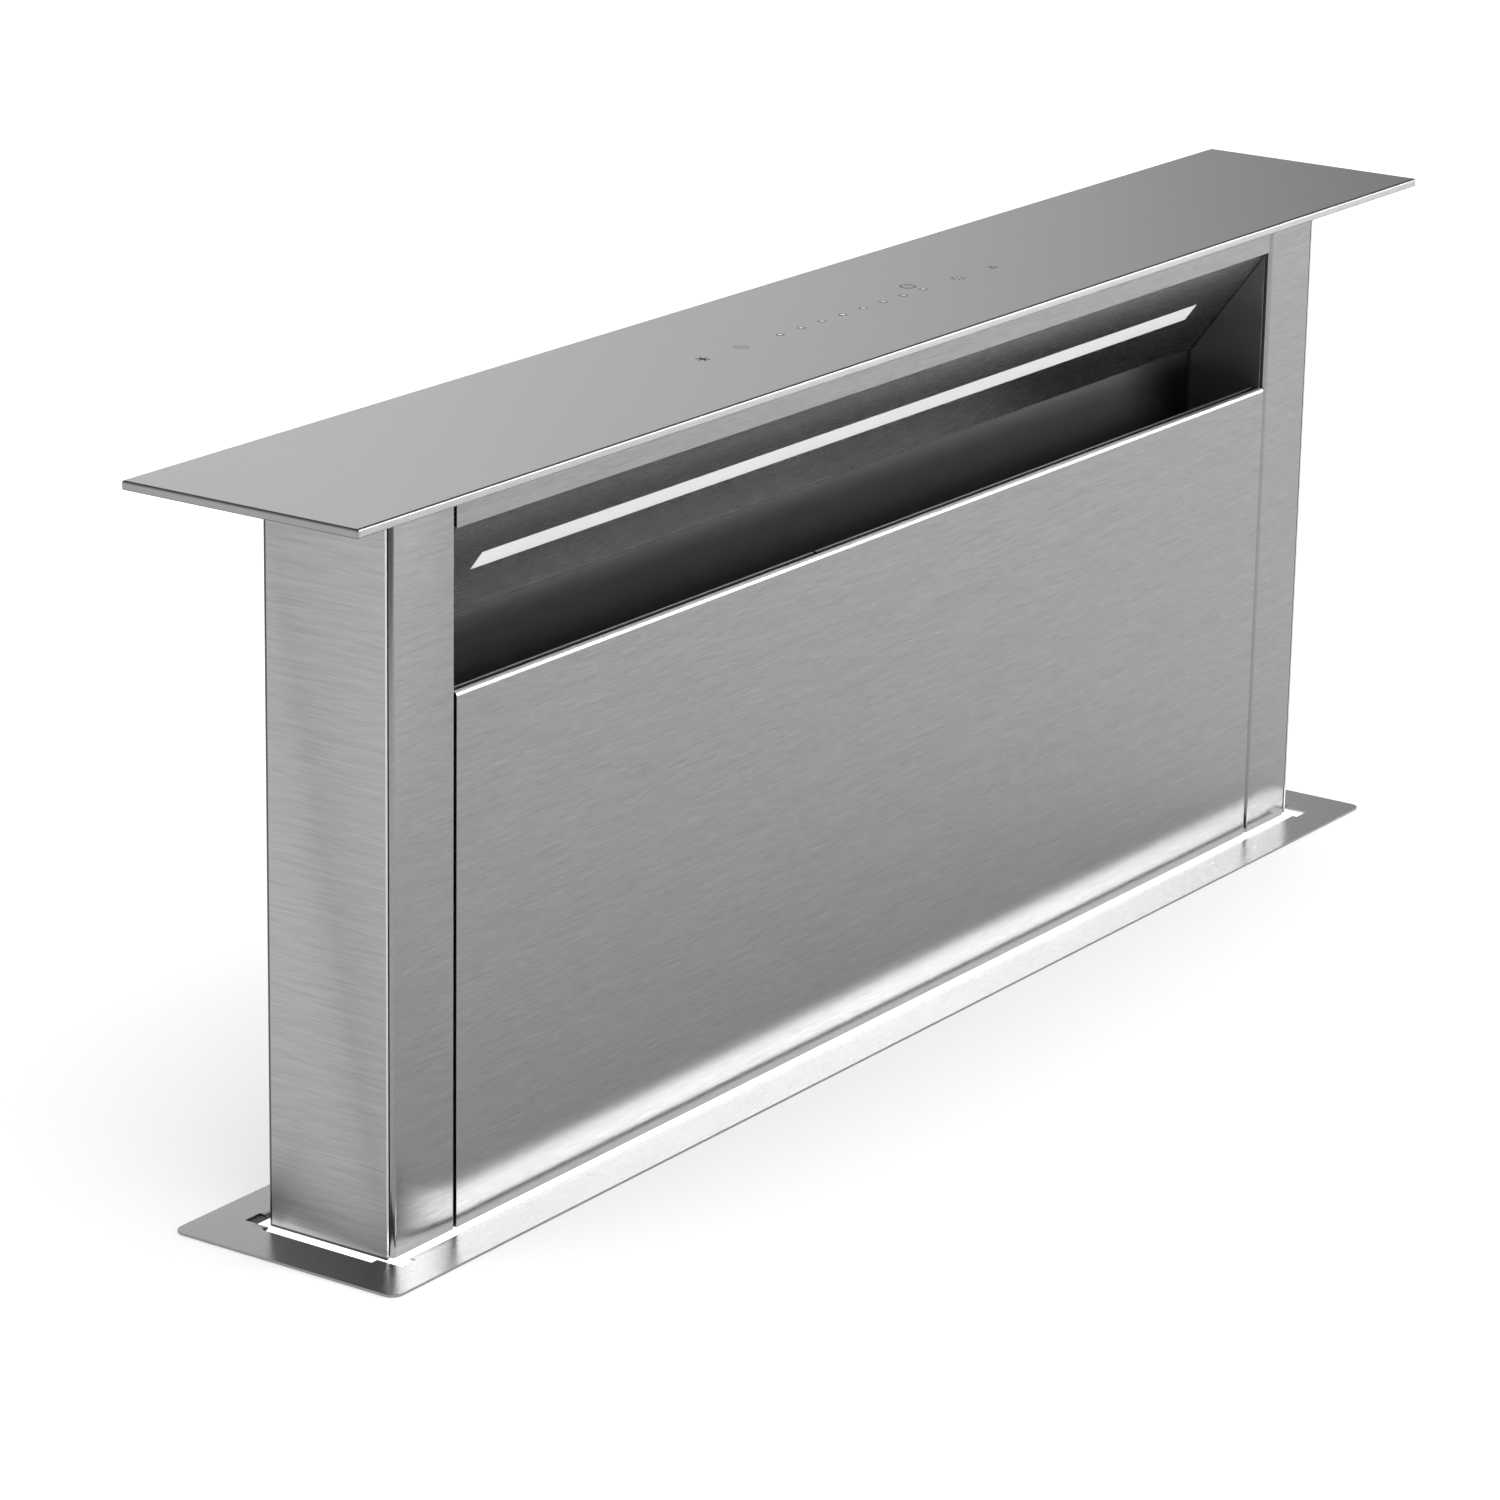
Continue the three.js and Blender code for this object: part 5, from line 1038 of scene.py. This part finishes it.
def make_screws():
    """One head, copied to every screwed joint and joined body by body."""
    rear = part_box("rear_panel")[1]
    wall_low, wall_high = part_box("chassis_front")[0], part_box("chassis_back")[1]
    bracket_low, bracket_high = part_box("worktop_bracket_right")
    lid_low, lid_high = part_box("electronics_lid")
    cover_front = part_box("scroll_cover")[0].y
    wheel_low, wheel_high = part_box("impeller")
    bracket_face, bracket_mid = bracket_low.x + BRACKET_SHEET, (bracket_low.z + bracket_high.z) / 2
    tower = [((x, rear.y, z), Y) for x in REAR_HEADS_X for z in REAR_HEADS_Z]
    chassis = []
    for x in CHASSIS_HEADS_X:
        for z in CHASSIS_HEADS_Z:
            chassis.append(((x, wall_low.y, z), -Y))
            chassis.append(((x, wall_high.y, z), Y))
    for side in (-1, 1):
        chassis.append(((side * bracket_face, 0, bracket_mid), X * side))
        out = side * (bracket_face + BRACKET_HEAD_OUT)
        for y in BRACKET_HEADS_Y:
            chassis.append(((out, y, bracket_high.z - BRACKET_SHEET), -Z))
    for x in (lid_low.x + LID_RIM, lid_high.x - LID_RIM):
        for z in (lid_low.z + LID_RIM, lid_high.z - LID_RIM):
            chassis.append(((x, lid_low.y, z), -Y))
    wheel = (wheel_low + wheel_high) / 2
    chassis += [(place, -Y) for place in rim_places("scroll_cover", wheel, cover_front)]
    head = screw_head()
    for body, places in (("tower", tower), ("chassis", chassis)):
        heads = []
        for k, (place, facing) in enumerate(places):
            one = copy_of(head, f"{body}_screw_{k}")
            one.rotation_euler = facing.to_track_quat("Z", "Y").to_euler()
            one.location = place
            place_here(one)
            heads.append(one)
        fit(joined(heads, body + "_screws"), body, "screw", "screw_steel")
    deselect()
    head.select_set(True)
    bpy.ops.object.delete()


make_screws()

# ------------------------------------------------------------------ stage and light

WHITE = (1, 1, 1, 1)
FLOOR_REACH = 8.0
FLOOR_WHITE = 0.95
GAP_PAINTED_GLOW = 1.7  # painted light: the floor glows white in the gap round the tower; behind the tower it is painted dark as shade
GAP_BACK = 37.5 * MM
# painted shade: the floor's tone under the flange
GAP_PAINTED_SHADE = 0.1
LIGHT_TARGET = (0, 0, 0.1)
KEY_PLACE, KEY_SIZE, KEY_RADIANCE = (6.2, -4.27, 2.45), (4.7, 2.0), 12.0
SHEEN_PLACE, SHEEN_SIZE, SHEEN_RADIANCE = (2.237, -2.16, 1.24), (2.3, 1.0), 15.5
SHEEN_TURN = math.radians(-34)
FILL_LIGHT = 1.26  # what the studio gives to surfaces that scatter light
FRONT_LEVEL = 0.22  # what polished steel sees of the studio in front of the vent
FRONT_TO_BACK = (0.1, 0.4)  # how far back a reflection looks where the studio turns light
HIGH_LEVEL = 0.4  # how much of the level behind is left higher up
LOW_TO_HIGH = (0.3, 0.4)
BEHIND_LEVELS = [  # what it sees behind the vent, from the left to the far right
    (0.0, 0.95), (0.3, 1.9), (0.74, 1.72), (0.80, 1.25), (0.83, 0.95), (0.855, 0.55), (0.89, 0.1),
]


def make_floor():
    """The white worktop. Under the flange it is painted dark as shade, and where the gap round the
    tower shows, except behind it, it glows white as painted light.
    """
    deselect()
    bpy.ops.mesh.primitive_plane_add(size=1)
    floor = name_it("worktop_plane")
    floor.scale = (2 * FLOOR_REACH, 2 * FLOOR_REACH, 1)
    place_here(floor)
    finish = Finish("worktop_white")
    place = finish.node("ShaderNodeSeparateXYZ", {"Vector": finish.place}).outputs

    def below(value, limit):
        return finish.number("LESS_THAN", value, limit)

    # painted shade: the floor is dark under the flange; painted light: it glows white in the gap
    # except behind the tower
    under_flange = finish.times(
        below(finish.number("ABSOLUTE", place["X"]), flange_high.x - FLANGE_CORNER),
        below(finish.number("ABSOLUTE", place["Y"]), flange_high.y - FLANGE_CORNER))
    in_front = finish.times(under_flange, below(place["Y"], GAP_BACK))
    grain = finish.spread(finish.noise(finish.place, scale=3, detail=3), 0.995, 1.0)
    tone = finish.times(grain, finish.spread(under_flange, 1, GAP_PAINTED_SHADE / FLOOR_WHITE))
    finish.shade(
        Base_Color=finish.scaled((FLOOR_WHITE, FLOOR_WHITE, FLOOR_WHITE), tone),
        Roughness=0.9,
        Specular_IOR_Level=0,
        Emission_Color=WHITE,
        Emission_Strength=finish.times(in_front, GAP_PAINTED_GLOW))
    floor.data.materials.append(finish.material)


def make_world():
    """A white studio. In steel it fades from the back left to the right, and is dim in front."""
    world = bpy.data.worlds.new("studio")
    bpy.context.scene.world = world
    world.use_nodes = True
    world.node_tree.nodes.clear()
    studio = Nodes(world.node_tree)
    direction = studio.node("ShaderNodeTexCoord").outputs["Generated"]
    way = studio.node("ShaderNodeSeparateXYZ", {"Vector": direction}).outputs
    behind = studio.node("ShaderNodeValToRGB", {"Fac": way["X"]})
    ramp = behind.color_ramp
    ramp.interpolation = "EASE"
    for _ in BEHIND_LEVELS[2:]:
        ramp.elements.new(0.5)
    for element, (place, level) in zip(ramp.elements, BEHIND_LEVELS):
        element.position = place
        element.color = (level, level, level, 1)
    height = studio.spread(way["Z"], 1.0, HIGH_LEVEL, *LOW_TO_HIGH)
    around = studio.node("ShaderNodeMix", {
        "Factor": studio.spread(way["Y"], 0.0, 1.0, *FRONT_TO_BACK),
        "A": (FRONT_LEVEL, FRONT_LEVEL, FRONT_LEVEL, 1),
        "B": studio.scaled(behind.outputs["Color"], height),
    }, data_type="RGBA").outputs["Result"]
    rays = studio.node("ShaderNodeLightPath").outputs

    def light(colour, strength=1.0):
        inputs = {"Color": colour, "Strength": strength}
        return studio.node("ShaderNodeBackground", inputs).outputs[0]

    def chosen(ray, one, other):
        """The one light for this kind of ray, and the other light for the rest."""
        return studio.node("ShaderNodeMixShader", {"Fac": rays[ray], 1: other, 2: one}).outputs[0]

    for_steel = chosen("Is Glossy Ray", light(around), light(WHITE, FILL_LIGHT))
    for_camera = chosen("Is Camera Ray", light(WHITE), for_steel)
    studio.node("ShaderNodeOutputWorld", {"Surface": for_camera})


def softbox(name, place, size, radiance, lights, turn=0.0):
    """A soft panel that lights only scattering surfaces, or shows only in polished ones."""
    width, height = size
    data = bpy.data.lights.new(name, "AREA")
    data.shape = "RECTANGLE"
    data.size = width
    data.size_y = height
    data.energy = radiance * width * height * math.pi
    lamp = bpy.data.objects.new(name, data)
    bpy.context.scene.collection.objects.link(lamp)
    lamp.location = place
    direction = Vector(LIGHT_TARGET) - Vector(place)
    aimed = direction.to_track_quat("-Z", "Y") @ Quaternion(Z, turn)
    lamp.rotation_euler = aimed.to_euler()
    lamp.visible_camera = False
    lamp.visible_diffuse = lights == "diffuse"
    lamp.visible_glossy = lights == "glossy"


make_floor()
make_world()
bpy.context.scene.view_settings.view_transform = "Standard"
softbox("key", KEY_PLACE, KEY_SIZE, KEY_RADIANCE, "diffuse")
softbox("sheen", SHEEN_PLACE, SHEEN_SIZE, SHEEN_RADIANCE, "glossy", SHEEN_TURN)
